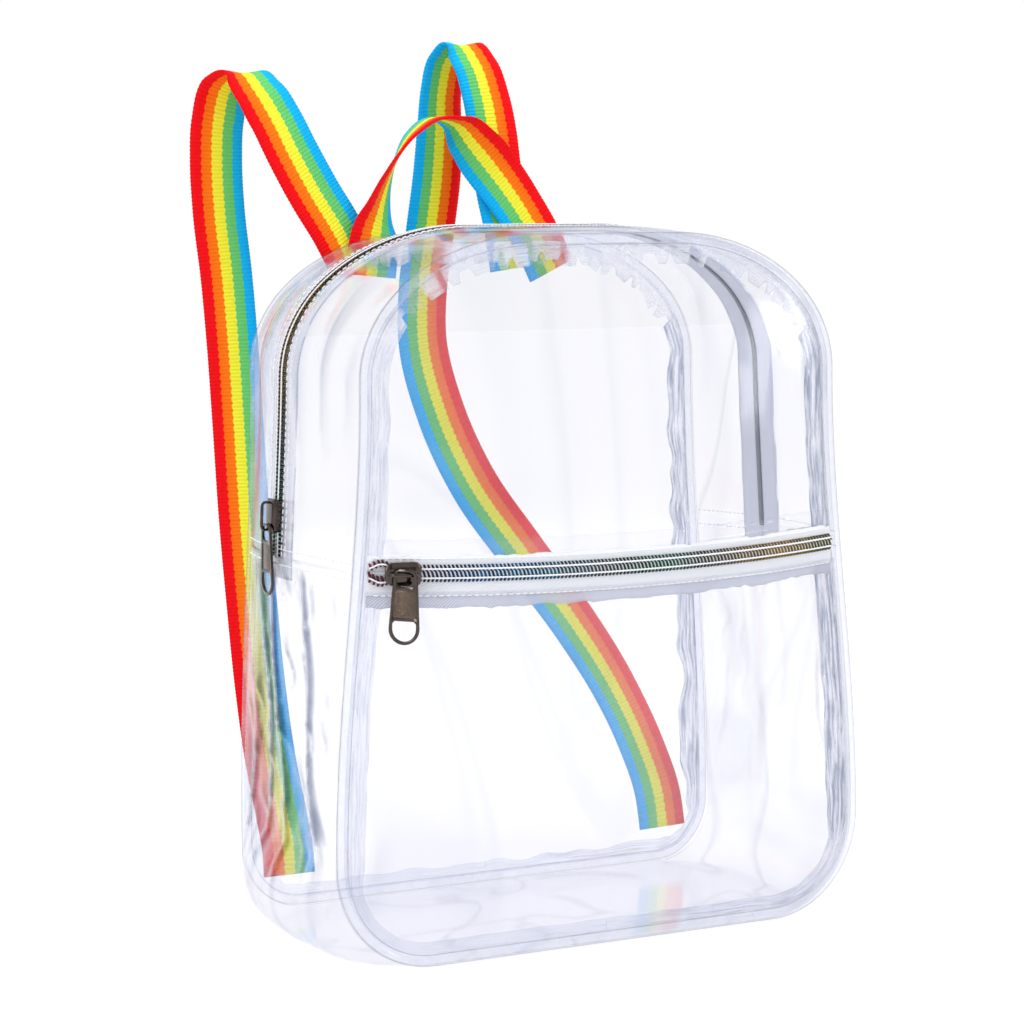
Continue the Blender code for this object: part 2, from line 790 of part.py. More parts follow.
def gusset_frame(run, y, lift):
    # Frame on the gusset with X along the zip, Y across it and Z outwards
    step = MM
    origin = on_gusset(run, y, lift)
    along = (on_gusset(run + step, y, lift) - on_gusset(run - step, y, lift)).normalized()
    across = Vector((0, 1, 0))
    out = along.cross(across).normalized()
    if out.dot(origin - Vector((0, y, HEIGHT / 2))) < 0:
        along, out = -along, -out
    return frame_matrix(origin, along, across, out)


def on_pocket_zip(across, up, layer):
    x = across * half_width(SEAM_HEIGHT + max(up, 0))
    return Vector((x, zip_y(x, layer), zip_height(x) + up))


def add_pocket_zip(tape_material, coil_material):
    def tape_place(up, across):
        return on_pocket_zip(across, up, TAPE_LAYER)

    across = spread(1, -1, POCKET_TAPE_STEPS)
    upper = (GAP / 2, TAPE_WIDTH)
    lower = (-TAPE_WIDTH - GAP / 2, -GAP / 2)
    add_sheet("pocket_zip_tape_upper", tape_material, tape_place, upper, across, TAPE)
    add_sheet("pocket_zip_tape_lower", tape_material, tape_place, lower, across, TAPE)
    shares = spread(-1, 1, POCKET_COIL_STEPS)
    centres = [on_pocket_zip(share, 0, TAPE_LAYER - GAP) for share in shares]
    sides = [Vector((0, 0, 1))] * len(centres)
    outs = [Vector((0, -1, 0))] * len(centres)
    add_swept("pocket_zip_coil", coil_material, centres, sides, outs, coil_section())


def pocket_slider_frame():
    half = half_width(SEAM_HEIGHT)
    share = POCKET_SLIDER_ACROSS / half
    step = MM / half
    layer = TAPE_LAYER - GAP - COIL_TALL - GAP
    ahead = on_pocket_zip(share + step, 0, layer)
    behind = on_pocket_zip(share - step, 0, layer)
    along = (ahead - behind).normalized()
    origin = on_pocket_zip(share, 0, layer)
    out = Vector((0, -1, 0))
    out = (out - along * out.dot(along)).normalized()
    return frame_matrix(origin, along, out.cross(along), out)


def add_pocket_pull(material, slider):
    # The eye goes round the crown's bar, one side of it behind and the other in front
    height = SLIDER_PLATE + CROWN_CLEAR + CROWN_BAR / 2
    bar = slider.to_3x3().col[0]
    up = (Vector((0, 0, 1)) - bar * bar.z).normalized()
    hanging = frame_matrix(slider @ Vector((0, 0, height)), bar, up.cross(bar), up)
    turn = Matrix.Rotation(math.radians(-POCKET_PULL_TURN), 4, "Z")
    upright = Matrix.Rotation(math.pi / 2, 4, "X")
    return add_pull("pocket_zip_pull", material, hanging @ turn @ upright)


def add_main_pull(material, slider):
    # The eye's end bar lies under the crown, at the low end of its opening
    bar_centre = PULL_EYE_CLEAR + PULL_BAR / 2
    rest = -CROWN_OPENING / 2 + GAP + PULL_BAR
    axis = slider @ Vector((rest, 0, SLIDER_PLATE + CROWN_CLEAR / 2))
    upright = Matrix.Rotation(-math.pi / 2, 4, "Z") @ Matrix.Rotation(math.pi / 2, 4, "X")
    obj = add_pull("main_zip_pull", material, Matrix.Translation(axis) @ upright)
    obj.data.transform(Matrix.Translation((0, -bar_centre, 0)))
    return obj


def carried_by_back(low_lift, high_lift):
    # The straps lie on the back panel low down, and on the handle's ends near the top
    def carrier(x, z):
        lift = low_lift if z < SEAM_HEIGHT else high_lift
        if z > HEIGHT - PIPING_CENTRE:
            return HALF_DEPTH + lift
        return max(HALF_DEPTH, back_y(x, z)) + lift

    return carrier


def build():
    clear = make_material("clear_sheet", (0.88, 0.90, 0.95), 0.08, alpha=0.35)
    edge = make_material("clear_piping", (0.80, 0.82, 0.88), 0.15, alpha=0.6)
    tape = make_material("white_tape", (0.86, 0.87, 0.90), 0.7)
    coil = make_material("plated_coil", (0.20, 0.28, 0.26), 0.3, 0.9)
    metal = make_material("dark_plated_metal", (0.22, 0.18, 0.15), 0.25, 1.0)
    web = make_material("striped_webbing", (0.85, 0.35, 0.06), 0.8)
    add_front_panel(clear)
    add_pocket_panel(clear)
    add_back_panel(clear)
    add_gussets(clear)
    add_piping("front_piping", edge, -HALF_DEPTH + PIPING_CENTRE)
    add_piping("back_piping", edge, HALF_DEPTH - PIPING_CENTRE)
    add_main_zip(tape, coil)
    add_pocket_zip(tape, coil)
    main_frame = gusset_frame(
        -run_at_height(MAIN_SLIDER_HEIGHT), ZIP_FROM_MIDDLE, COIL_TALL + GAP - SHEET
    )
    pocket_frame = pocket_slider_frame()
    add_slider("main_zip_slider", metal, main_frame)
    add_slider("pocket_zip_slider", metal, pocket_frame)
    add_main_pull(metal, main_frame)
    add_pocket_pull(metal, pocket_frame)
    first_layer = GAP + WEB / 2
    second_layer = first_layer + WEB + GAP
    on_panel = carried_by_back(first_layer, first_layer)
    on_handle = carried_by_back(first_layer, second_layer)
    add_webbing("grab_handle", web, HANDLE_ROWS, on_panel, HANDLE_STEPS)
    add_webbing("shoulder_strap_left", web, LEFT_STRAP_ROWS, on_handle, STRAP_STEPS)
    add_webbing("shoulder_strap_right", web, RIGHT_STRAP_ROWS, on_handle, STRAP_STEPS)


for old in list(bpy.data.objects):
    bpy.data.objects.remove(old)
PARTS = bpy.data.collections.new("clear_backpack")
CUTTERS = bpy.data.collections.new("cutters")
bpy.context.scene.collection.children.link(PARTS)
bpy.context.scene.collection.children.link(CUTTERS)
build()
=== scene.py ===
import math

import bmesh
import bpy
import numpy as np
from mathutils import Matrix, Vector, noise


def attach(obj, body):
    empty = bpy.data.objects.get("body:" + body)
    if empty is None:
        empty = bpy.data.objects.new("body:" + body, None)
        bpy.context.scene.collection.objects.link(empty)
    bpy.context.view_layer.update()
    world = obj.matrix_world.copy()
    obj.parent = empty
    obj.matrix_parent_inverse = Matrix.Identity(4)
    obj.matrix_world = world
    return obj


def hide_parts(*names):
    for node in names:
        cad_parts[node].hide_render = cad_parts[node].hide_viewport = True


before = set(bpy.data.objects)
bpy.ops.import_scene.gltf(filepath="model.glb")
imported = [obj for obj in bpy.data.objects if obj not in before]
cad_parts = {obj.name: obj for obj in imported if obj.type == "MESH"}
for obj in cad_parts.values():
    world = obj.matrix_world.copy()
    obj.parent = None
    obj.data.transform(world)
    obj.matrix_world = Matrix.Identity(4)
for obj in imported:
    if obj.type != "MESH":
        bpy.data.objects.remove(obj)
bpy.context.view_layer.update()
mm = 0.001

# The bag's own sizes, the same as the solids'
bag = {
    "height": 305 * mm,
    "depth": 130 * mm,
    "lowWidth": 253 * mm,
    "backLowWidth": 242 * mm,
    "highWidth": 226 * mm,
    "lowCorner": (44 * mm, 46 * mm),
    "backCorner": (28 * mm, 30 * mm),
    "topCorner": (80 * mm, 60 * mm),
    "seamHeight": 168 * mm,
    "gap": 0.3 * mm,
    "sheet": 1.0 * mm,
    "pipingWidth": 5 * mm,
    "pipingProud": 0.8 * mm,
    "backBulge": 4.5 * mm,
    "frontBulge": 11 * mm,
    "gussetBulge": 7 * mm,
    "cornerFill": 10 * mm,
    "dentDepth": 3.5 * mm,
    "pocketSag": 3 * mm,
    "pocketRimDrop": 7 * mm,
    "layerStep": 1.3 * mm,
    "easedFrom": 262 * mm,
    "zipSlot": (4.5 * mm, 13.5 * mm),
}
halfDepth = bag["depth"] / 2
halfLow = bag["lowWidth"] / 2
pipingCentre = bag["pipingWidth"] / 2 + bag["gap"]
panelInset = bag["pipingWidth"] + 2 * bag["gap"]
gussetEdge = halfDepth - panelInset
frontLayer = pipingCentre + bag["sheet"] / 2
tapeLayer = frontLayer - bag["layerStep"]
pocketLayer = tapeLayer - bag["layerStep"]
backLayer = pipingCentre - bag["sheet"] / 2
slotFront, slotBack = bag["zipSlot"]
zipMiddle = (slotFront + slotBack) / 2

# Swell of the sheets over the height, up and share
backSwell = ((0, 0), (0.12, 0.45), (0.35, 0.95), (0.6, 1), (0.85, 0.5), (1, 0))
frontSwell = (
    (0, 0), (0.12, 0), (0.26, 0.04), (0.38, 0.2), (0.46, 0.62), (0.52, 0.94),
    (0.56, 1), (0.64, 0.97), (0.76, 0.8), (0.88, 0.46), (0.96, 0.15), (1, 0),
)
pocketSwell = (
    (0, 0), (0.06, 0.42), (0.14, 0.84), (0.25, 1.14), (0.38, 1.2), (0.47, 1.06),
    (0.55, 1.02), (1, 1),
)
gussetSwell = (
    (0, 0), (0.02, 0.12), (0.06, 0.45), (0.12, 0.55), (0.2, 0.5), (0.4, 0.75),
    (0.55, 1), (0.75, 1), (0.9, 0.75), (1, 0.5),
)
# side, up, back, spread up, spread back, push
dents = (
    (-1, 0.62, -0.25, 0.42, 0.22, 1.0),
    (-1, 0.40, 0.42, 0.35, 0.20, 0.7),
    (-1, 0.78, 0.60, 0.20, 0.25, 0.45),
    (1, 0.55, 0.10, 0.40, 0.30, 0.8),
)


def rowsCurve(rows, samples=700):
    # Cubic curve through the rows, sampled finely, as a function of their first column
    table = np.array(rows, float)
    places = table[:, 0]
    slopes = np.gradient(table[:, 1:], places, axis=0)
    slopes[0] = slopes[-1] = 0
    where = np.linspace(places[0], places[-1], samples)
    low = np.clip(np.searchsorted(places, where, side="right") - 1, 0, len(places) - 2)
    span = (places[low + 1] - places[low])[:, None]
    t = (where - places[low])[:, None] / span
    values = (
        (2 * t**3 - 3 * t**2 + 1) * table[low, 1:]
        + (t**3 - 2 * t**2 + t) * span * slopes[low]
        + (3 * t**2 - 2 * t**3) * table[low + 1, 1:]
        + (t**3 - t**2) * span * slopes[low + 1]
    )
    return lambda place: [float(np.interp(place, where, column)) for column in values.T]


backSwellAt, frontSwellAt = rowsCurve(backSwell), rowsCurve(frontSwell)
pocketSwellAt, gussetSwellAt = rowsCurve(pocketSwell), rowsCurve(gussetSwell)


def spread(start, stop, count):
    return [start + (stop - start) * i / count for i in range(count + 1)]


def rightHalf(lowWidth, corner):
    # Right half of an outline, from the bottom centre to the top centre
    count = 40
    quarter = np.linspace(0, math.pi / 2, count)
    climb = np.linspace(0, 1, count)
    ease = climb * climb * (3 - 2 * climb)
    wide, tall = corner
    halfWide = lowWidth / 2
    lowX = halfWide - wide
    highX = bag["highWidth"] / 2 - bag["topCorner"][0]
    highZ = bag["height"] - bag["topCorner"][1]
    cornerUp = bag["lowCorner"][1]
    sideZ = cornerUp + (highZ - cornerUp) * climb - (cornerUp - tall) * (1 - climb) ** 3
    points = [(lowX * t, 0) for t in climb]
    points += [(lowX + wide * math.sin(a), tall * (1 - math.cos(a))) for a in quarter][1:]
    points += [
        (halfWide + (bag["highWidth"] / 2 - halfWide) * e, z) for e, z in zip(ease, sideZ)
    ][1:]
    points += [
        (highX + bag["topCorner"][0] * math.cos(a), highZ + bag["topCorner"][1] * math.sin(a))
        for a in quarter
    ][1:]
    points += [(highX * (1 - t), bag["height"]) for t in climb][1:]
    return np.array(points)


frontOutline = rightHalf(bag["lowWidth"], bag["lowCorner"])
backOutline = rightHalf(bag["backLowWidth"], bag["backCorner"])
outlineRun = np.concatenate(([0.0], np.cumsum(np.hypot(*np.diff(frontOutline, axis=0).T))))
halfLoop = float(outlineRun[-1])
frontSlopes = np.gradient(frontOutline, outlineRun, axis=0)
backSlopes = np.gradient(backOutline, outlineRun, axis=0)
cornerStart = float(outlineRun[39])
cornerEnd = float(outlineRun[156])


def runAtHeight(height):
    return float(np.interp(height, frontOutline[:, 1], outlineRun))


def onOutline(run, y):
    # Point and outward normal in x and z. The run is 0 at the bottom centre, positive to the right
    run = (run + halfLoop) % (2 * halfLoop) - halfLoop
    side = -1 if run < 0 else 1
    share = min(max((y + halfDepth) / bag["depth"], 0), 1)
    values = []
    for near, far in ((frontOutline, backOutline), (frontSlopes, backSlopes)):
        for column in (0, 1):
            low = np.interp(abs(run), outlineRun, near[:, column])
            high = np.interp(abs(run), outlineRun, far[:, column])
            values.append(float(low + (high - low) * share))
    x, z, slopeX, slopeZ = values
    length = math.hypot(slopeX, slopeZ)
    return side * x, z, side * slopeZ / length, -slopeX / length


def insetOutline(run, inset, y):
    x, z, normalX, normalZ = onOutline(run, y)
    return x - normalX * inset, z - normalZ * inset


def openingAt(y):
    runs = np.linspace(cornerStart, cornerEnd, 240)
    return np.array([insetOutline(run, panelInset, y) for run in runs])


frontOpening, backOpening = openingAt(-halfDepth), openingAt(halfDepth)


def halfWidth(height, opening=frontOpening):
    return float(np.interp(height, opening[:, 1], opening[:, 0]))


def rimFade(x, half):
    return 1 - min(abs(x) / half, 1.0) ** 2.4


def frontY(x, height, swellAt, layer):
    swell = bag["frontBulge"] * swellAt(height / bag["height"])[0] * rimFade(x, halfWidth(height))
    return -halfDepth + layer - swell


def zipY(x, layer):
    return -halfDepth + layer - bag["frontBulge"] * rimFade(x, halfWidth(bag["seamHeight"]))


def zipHeight(x):
    share = x / halfWidth(bag["seamHeight"])
    return bag["seamHeight"] - bag["pocketSag"] * (1 - share * share)


def backY(x, height):
    swell = bag["backBulge"] * backSwellAt(height / bag["height"])[0]
    return halfDepth - backLayer + swell * rimFade(x, halfWidth(height, backOpening))


def gussetLift(x, z, y):
    # How far the gusset's outer face stands out from the outline
    across = y / gussetEdge
    offFloor = min(1.0, z / bag["lowCorner"][1])
    lift = bag["gussetBulge"] * gussetSwellAt(z / bag["height"])[0] * (1 - across**2)
    lift -= bag["pipingProud"] * offFloor
    lift += bag["cornerFill"] * math.sin(2 * math.acos(1 - offFloor)) * (1 - across**4)
    for side, up, back, spreadUp, spreadBack, push in dents:
        if side * x <= 0 or z > bag["seamHeight"]:
            continue
        awayUp = (z / bag["seamHeight"] - up) / spreadUp
        awayBack = (across - back) / spreadBack
        fade = offFloor * (1 - (z / bag["seamHeight"]) ** 4)
        lift -= bag["dentDepth"] * push * fade * math.exp(-(awayUp**2) - awayBack**2)
    return lift


def onGusset(run, y, lift=0.0):
    x, z, normalX, normalZ = onOutline(run, y)
    out = gussetLift(x, z, y) + lift
    if normalZ < 0:
        out = min(out, -z / normalZ)
    return Vector((x + normalX * out, y, z + normalZ * out))


def frameMatrix(origin, along, across, out):
    matrix = Matrix((along, across, out)).transposed().to_4x4()
    matrix.translation = origin
    return matrix


def gussetFrame(run, y, lift):
    # X along the zip, Y across it, Z outwards
    origin = onGusset(run, y, lift)
    along = (onGusset(run + mm, y, lift) - onGusset(run - mm, y, lift)).normalized()
    across = Vector((0, 1, 0))
    out = along.cross(across).normalized()
    if out.dot(origin - Vector((0, y, bag["height"] / 2))) < 0:
        along, out = -along, -out
    return frameMatrix(origin, along, across, out)


def onPocketZip(across, up, layer):
    x = across * halfWidth(bag["seamHeight"] + max(up, 0))
    return Vector((x, zipY(x, layer), zipHeight(x) + up))


def pocketFrame(across, up, layer):
    # X along the zip to the right, Y up, Z outwards
    step = mm / halfWidth(bag["seamHeight"])
    along = onPocketZip(across + step, up, layer) - onPocketZip(across - step, up, layer)
    along.normalize()
    out = Vector((0, -1, 0))
    out = (out - along * out.dot(along)).normalized()
    return frameMatrix(onPocketZip(across, up, layer), along, out.cross(along), out)


def linear(hexColour):
    # sRGB hex to the linear colour that a shader takes
    parts = [int(hexColour[i : i + 2], 16) / 255 for i in (1, 3, 5)]
    return tuple(p / 12.92 if p <= 0.04045 else ((p + 0.055) / 1.055) ** 2.4 for p in parts) + (1,)


def addNode(tree, kind, inputs=None, stops=None, **settings):
    # One shader node with its settings, its colour stops and its inputs: values, hex colours,
    # sockets, or nodes, which are linked by their first output
    made = tree.nodes.new("ShaderNode" + kind)
    for name, value in settings.items():
        setattr(made, name, value)
    if stops:
        ramp = made.color_ramp
        while len(ramp.elements) < len(stops):
            ramp.elements.new(0.5)
        for element, (place, colour) in zip(ramp.elements, stops):
            element.position = place
            element.color = linear(colour) if isinstance(colour, str) else (colour,) * 3 + (1,)
    for name, value in (inputs or {}).items():
        if isinstance(value, bpy.types.Node):
            value = next(socket for socket in value.outputs if socket.enabled)
        if isinstance(value, bpy.types.NodeSocket):
            tree.links.new(value, made.inputs[name])
        else:
            made.inputs[name].default_value = linear(value) if isinstance(value, str) else value
    return made


def startMaterial(name):
    material = bpy.data.materials.new(name)
    material.use_nodes = True
    tree = material.node_tree
    tree.nodes.clear()
    return material, tree, addNode(tree, "TexCoord").outputs["Object"]


def filmMaterial(name, film):
    # Plasticised PVC film, calendered and glossy: near invisible face on, mirror-like at a
    # glancing view, with a faint milky haze. Where a fold bends the light, painted shade makes a
    # grey line and a painted highlight a white one beside it
    material, tree, place = startMaterial(name)
    drawn = addNode(tree, "Mapping", {"Vector": place, "Scale": film["stretch"]})
    cloud = addNode(tree, "TexNoise", {
        "Vector": drawn, "Scale": film["cloudScale"], "Detail": 2.0, "Roughness": 0.55,
        "Distortion": film["bend"],
    })
    fold = addNode(tree, "Attribute", attribute_name="fold")
    # Painted shade: grey along thin noise lines and on the side of a fold that loses light
    line = addNode(tree, "ValToRGB", {"Fac": cloud}, stops=(
        (0.0, 0.0), (0.47, 0.0), (0.494, 1.0), (0.506, 0.1), (0.58, 0.0), (1.0, 0.0),
    ))
    steep = addNode(tree, "Math", {
        0: line, 1: film["line"], 2: fold.outputs["Fac"],
    }, operation="MULTIPLY_ADD", use_clamp=True)
    lost = addNode(tree, "Mix", {0: steep, 6: film["tint"], 7: film["shade"]}, data_type="RGBA")
    milk = addNode(tree, "BsdfPrincipled", {"Base Color": film["milk"], "Roughness": 0.3})
    clear = addNode(tree, "BsdfTransparent", {"Color": lost})
    # Painted highlight: more milk on the side of a fold that gains light, as much as crease says
    haze = addNode(tree, "Math", {
        0: fold.outputs["Fac"], 1: -film["crease"], 2: film["haze"],
    }, operation="MULTIPLY_ADD", use_clamp=True)
    body = addNode(tree, "MixShader", {0: haze, 1: clear, 2: milk})
    shine = addNode(tree, "BsdfGlossy", {"Color": "#F6F7FC", "Roughness": film["roughness"]})
    # Share mirrored: little face on and more towards a glancing view, alike on both faces
    facing = addNode(tree, "LayerWeight", {"Blend": 0.5})
    glance = addNode(tree, "Math", {0: facing.outputs["Facing"], 1: 4.5}, operation="POWER")
    share = addNode(tree, "Math", {
        0: glance, 1: film["glance"], 2: film["mirror"],
    }, operation="MULTIPLY_ADD")
    surface = addNode(tree, "MixShader", {0: share, 1: body, 2: shine})
    addNode(tree, "OutputMaterial", {"Surface": surface})
    return material


# Of each film: how much light is lost in the plain sheet, the painted shade and painted highlight
# of a fold, and what it mirrors
panelLook = {
    "cloudScale": 5.0,
    "stretch": (1.0, 1.0, 0.45),
    "bend": 0.5,
    "line": 0.05,
    "crease": 0.3,
    "haze": 0.012,
    "roughness": 0.09,
    "milk": "#F6F6FC",
    "tint": "#FDFDFE",
    "shade": "#B4BBCD",
    "mirror": 0.022,
    "glance": 0.65,
}
gussetLook = {
    "cloudScale": 11.0,
    "stretch": (1.0, 1.0, 0.3),
    "bend": 0.8,
    "line": 0.10,
    "crease": 0.6,
    "haze": 0.02,
    "roughness": 0.14,
    "milk": "#FBFBFF",
    "tint": "#FDFDFE",
    "shade": "#8B94AC",
    "mirror": 0.022,
    "glance": 0.6,
}
clearFilm = filmMaterial("clearVinylFilm", panelLook)
gussetFilm = filmMaterial("clearVinylGusset", gussetLook)


def cordMaterial():
    # Solid PVC welt: clear like the film but thick; its grey at a glancing view is painted shade
    material, tree, place = startMaterial("clearVinylWelt")
    cloud = addNode(tree, "TexNoise", {"Vector": place, "Scale": 120.0, "Detail": 2.0})
    facing = addNode(tree, "LayerWeight", {"Blend": 0.5})
    steep = addNode(tree, "Math", {0: facing.outputs["Facing"], 1: 2.6}, operation="POWER")
    lost = addNode(tree, "Mix", {0: steep, 6: "#F6F7FB", 7: "#868C9C"}, data_type="RGBA")
    haze = addNode(tree, "MapRange", {
        "Value": cloud, "From Min": 0.35, "From Max": 0.7, "To Min": 0.03, "To Max": 0.16,
    })
    milk = addNode(tree, "BsdfPrincipled", {"Base Color": "#FBFBFF", "Roughness": 0.2})
    clear = addNode(tree, "BsdfTransparent", {"Color": lost})
    body = addNode(tree, "MixShader", {0: haze, 1: clear, 2: milk})
    shine = addNode(tree, "BsdfGlossy", {"Color": "#F6F7FC", "Roughness": 0.08})
    share = addNode(tree, "Math", {0: steep, 1: 0.35, 2: 0.04}, operation="MULTIPLY_ADD")
    surface = addNode(tree, "MixShader", {0: share, 1: body, 2: shine})
    addNode(tree, "OutputMaterial", {"Surface": surface})
    return material


cordFilm = cordMaterial()


def allowanceMaterial():
    # The same PVC film in layers, sewn together and drawn along the seam. Its blue-grey streaks
    # are painted shade and its white ones painted highlight
    material, tree, _ = startMaterial("clearVinylAllowance")
    uv = addNode(tree, "UVMap", uv_map="weave")
    drawn = addNode(tree, "Mapping", {"Vector": uv, "Scale": (0.05, 1.0, 1.0)})
    streak = addNode(tree, "TexNoise", {
        "Vector": drawn, "Scale": 0.9, "Detail": 4.0, "Roughness": 0.75, "Distortion": 0.4,
    })
    fold = addNode(tree, "Attribute", attribute_name="fold")
    colour = addNode(tree, "ValToRGB", {"Fac": streak}, stops=(
        (0.0, "#7F8AA4"), (0.43, "#9FA9BF"), (0.49, "#CFD4E0"), (0.53, "#FAFAFD"), (1.0, "#FFFFFF"),
    ))
    dense = addNode(tree, "MapRange", {
        "Value": streak, "From Min": 0.38, "From Max": 0.62, "To Min": 0.85, "To Max": 0.20,
    })
    layers = addNode(tree, "Math", {0: fold.outputs["Fac"]}, operation="ABSOLUTE")
    share = addNode(tree, "Math", {0: dense, 1: layers}, operation="MULTIPLY", use_clamp=True)
    easing = addNode(tree, "Math", {0: fold.outputs["Fac"], 1: 0.0}, operation="LESS_THAN")
    white = addNode(tree, "Math", {0: easing, 1: 0.75}, operation="MULTIPLY")
    tone = addNode(tree, "Mix", {0: white, 6: colour, 7: "#FFFFFF"}, data_type="RGBA")
    milk = addNode(tree, "BsdfPrincipled", {"Base Color": tone, "Roughness": 0.25})
    clear = addNode(tree, "BsdfTransparent", {"Color": "#F8F9FC"})
    surface = addNode(tree, "MixShader", {0: share, 1: clear, 2: milk})
    addNode(tree, "OutputMaterial", {"Surface": surface})
    return material


allowanceFilm = allowanceMaterial()


def tapeMaterial(name, dark, light, clear=0.0):
    # Woven polyester zip tape, heat set: matt white with a fine diagonal rib whose dark and light
    # are painted shade, with faint lines along it. Greyer copies paint the shade on the inner
    # side. The real rib is 0.5 mm; it is drawn at 0.9 mm, so that it shows
    material, tree, _ = startMaterial(name)
    uv = addNode(tree, "UVMap", uv_map="weave")
    turned = addNode(tree, "Mapping", {"Vector": uv, "Rotation": (0, 0, math.radians(52))})
    rib = addNode(tree, "TexWave", {
        "Vector": turned, "Scale": 1 / 0.9 / 2 / math.pi * 1.9, "Distortion": 0.5, "Detail": 1.0,
    })
    drawn = addNode(tree, "Mapping", {"Vector": uv, "Scale": (0.03, 1.0, 1.0)})
    fleck = addNode(tree, "TexNoise", {
        "Vector": drawn, "Scale": 0.8, "Detail": 3.0, "Roughness": 0.7,
    })
    shade = addNode(tree, "Mix", {0: rib.outputs["Fac"], 6: dark, 7: light}, data_type="RGBA")
    tone = addNode(tree, "Mix", {0: fleck, 6: "#FFFFFF", 7: "#E2E5EE"}, data_type="RGBA")
    both = addNode(tree, "Mix", {
        0: 1.0, 6: shade, 7: tone,
    }, data_type="RGBA", blend_type="MULTIPLY")
    bump = addNode(tree, "Bump", {
        "Height": rib.outputs["Fac"], "Strength": 0.5, "Distance": 0.0003,
    })
    cloth = addNode(tree, "BsdfPrincipled", {
        "Base Color": both, "Roughness": 0.85, "Sheen Weight": 0.3, "Normal": bump,
    })
    # Where clear film is sewn over the tape, part of what lies behind shows
    behind = addNode(tree, "BsdfTransparent", {"Color": "#F4F5FB"})
    surface = addNode(tree, "MixShader", {0: clear, 1: cloth, 2: behind})
    addNode(tree, "OutputMaterial", {"Surface": surface})
    return material


polyesterTape = tapeMaterial("wovenPolyesterTape", "#EDEFF6", "#FFFFFF")
# A greyer copy: painted shade on the tape's inner side
shadedInnerTape = tapeMaterial("wovenPolyesterTapePaintedShade", "#C8CDDB", "#E2E5EE")
hemTape = tapeMaterial("wovenPolyesterTapeUnderFilm", "#C2C8DA", "#FFFFFF", 0.38)
# A dark grey copy: painted shade of the coil's back, seen from inside
coilBackShade = tapeMaterial("paintedCoilBackShade", "#6E7480", "#8E949F")


def threadMaterial():
    # Twisted polyester sewing thread: white with a soft sheen, ply marks drawn as fine noise
    material, tree, place = startMaterial("polyesterThread")
    ply = addNode(tree, "TexNoise", {"Vector": place, "Scale": 1500.0, "Detail": 1.0})
    shade = addNode(tree, "Mix", {0: ply, 6: "#FFFFFF", 7: "#D4D7E2"}, data_type="RGBA")
    thread = addNode(tree, "BsdfPrincipled", {
        "Base Color": shade, "Roughness": 0.5, "Sheen Weight": 0.4,
    })
    addNode(tree, "OutputMaterial", {"Surface": thread})
    return material


whiteThread = threadMaterial()


def coilMaterial(name, stops):
    # Vacuum-plated nylon coil: thin-film colours that drift along the zip, bright on each turn
    material, tree, place = startMaterial(name)
    uv = addNode(tree, "UVMap", uv_map="alongZip")
    parts = addNode(tree, "SeparateXYZ", {"Vector": uv})
    drift = addNode(tree, "TexNoise", {"Vector": place, "Scale": 60.0, "Detail": 2.0})
    moved = addNode(tree, "Math", {
        0: drift, 1: 0.08, 2: parts.outputs["X"],
    }, operation="MULTIPLY_ADD")
    colour = addNode(tree, "ValToRGB", {"Fac": moved}, stops=stops)
    tone = addNode(tree, "Mix", {
        0: parts.outputs["Y"], 6: "#FFFFFF", 7: "#B4B4B4",
    }, data_type="RGBA")
    both = addNode(tree, "Mix", {
        0: 1.0, 6: colour, 7: tone,
    }, data_type="RGBA", blend_type="MULTIPLY")
    plate = addNode(tree, "BsdfPrincipled", {
        "Base Color": both, "Metallic": 0.85, "Roughness": 0.28,
    })
    addNode(tree, "OutputMaterial", {"Surface": plate})
    return material


pocketCoilPlate = coilMaterial("platedNylonCoil", (
    (0.00, "#7A3440"), (0.10, "#5E3040"), (0.18, "#1E3C5C"), (0.26, "#145288"), (0.38, "#1B5C78"),
    (0.50, "#454C4E"), (0.58, "#24543F"), (0.64, "#12624A"), (0.72, "#4A4A42"), (0.82, "#6E5A30"),
    (0.92, "#8A6A20"), (1.00, "#64602C"),
))
mainCoilPlate = coilMaterial("platedNylonCoilLong", (
    (0.00, "#1E6A50"), (0.08, "#1C5A4C"), (0.15, "#3C4648"), (0.24, "#80642C"), (0.34, "#6A5230"),
    (0.46, "#5A4A44"), (0.60, "#6E6862"), (0.80, "#4E6066"), (1.00, "#50585C"),
))


def gunmetalMaterial(name, dark, light, smooth, coarse, bumps):
    # Die-cast zinc, plated gunmetal and lacquered: dark and brownish, with a bright gloss along
    # its edges. The sunk plate of a pull keeps the mottled skin of the tumbler, about 1 mm wide
    material, tree, place = startMaterial(name)
    cloud = addNode(tree, "TexNoise", {"Vector": place, "Scale": 240.0, "Detail": 3.0})
    colour = addNode(tree, "Mix", {0: cloud, 6: dark, 7: light}, data_type="RGBA")
    rough = addNode(tree, "MapRange", {"Value": cloud, "To Min": smooth, "To Max": coarse})
    skin = addNode(tree, "TexNoise", {"Vector": place, "Scale": 900.0, "Detail": 2.0})
    bump = addNode(tree, "Bump", {"Height": skin, "Strength": bumps, "Distance": 0.0002})
    metal = addNode(tree, "BsdfPrincipled", {
        "Base Color": colour, "Metallic": 1.0, "Roughness": rough, "Coat Weight": 0.5,
        "Coat Roughness": 0.05, "Coat IOR": 1.6, "Normal": bump,
    })
    addNode(tree, "OutputMaterial", {"Surface": metal})
    return material


gunmetal = gunmetalMaterial("gunmetalPlatedZinc", "#2C231E", "#55483F", 0.08, 0.20, 0.05)
tumbledGunmetal = gunmetalMaterial("tumbledGunmetalZinc", "#382C24", "#6E5C4C", 0.20, 0.36, 1.0)


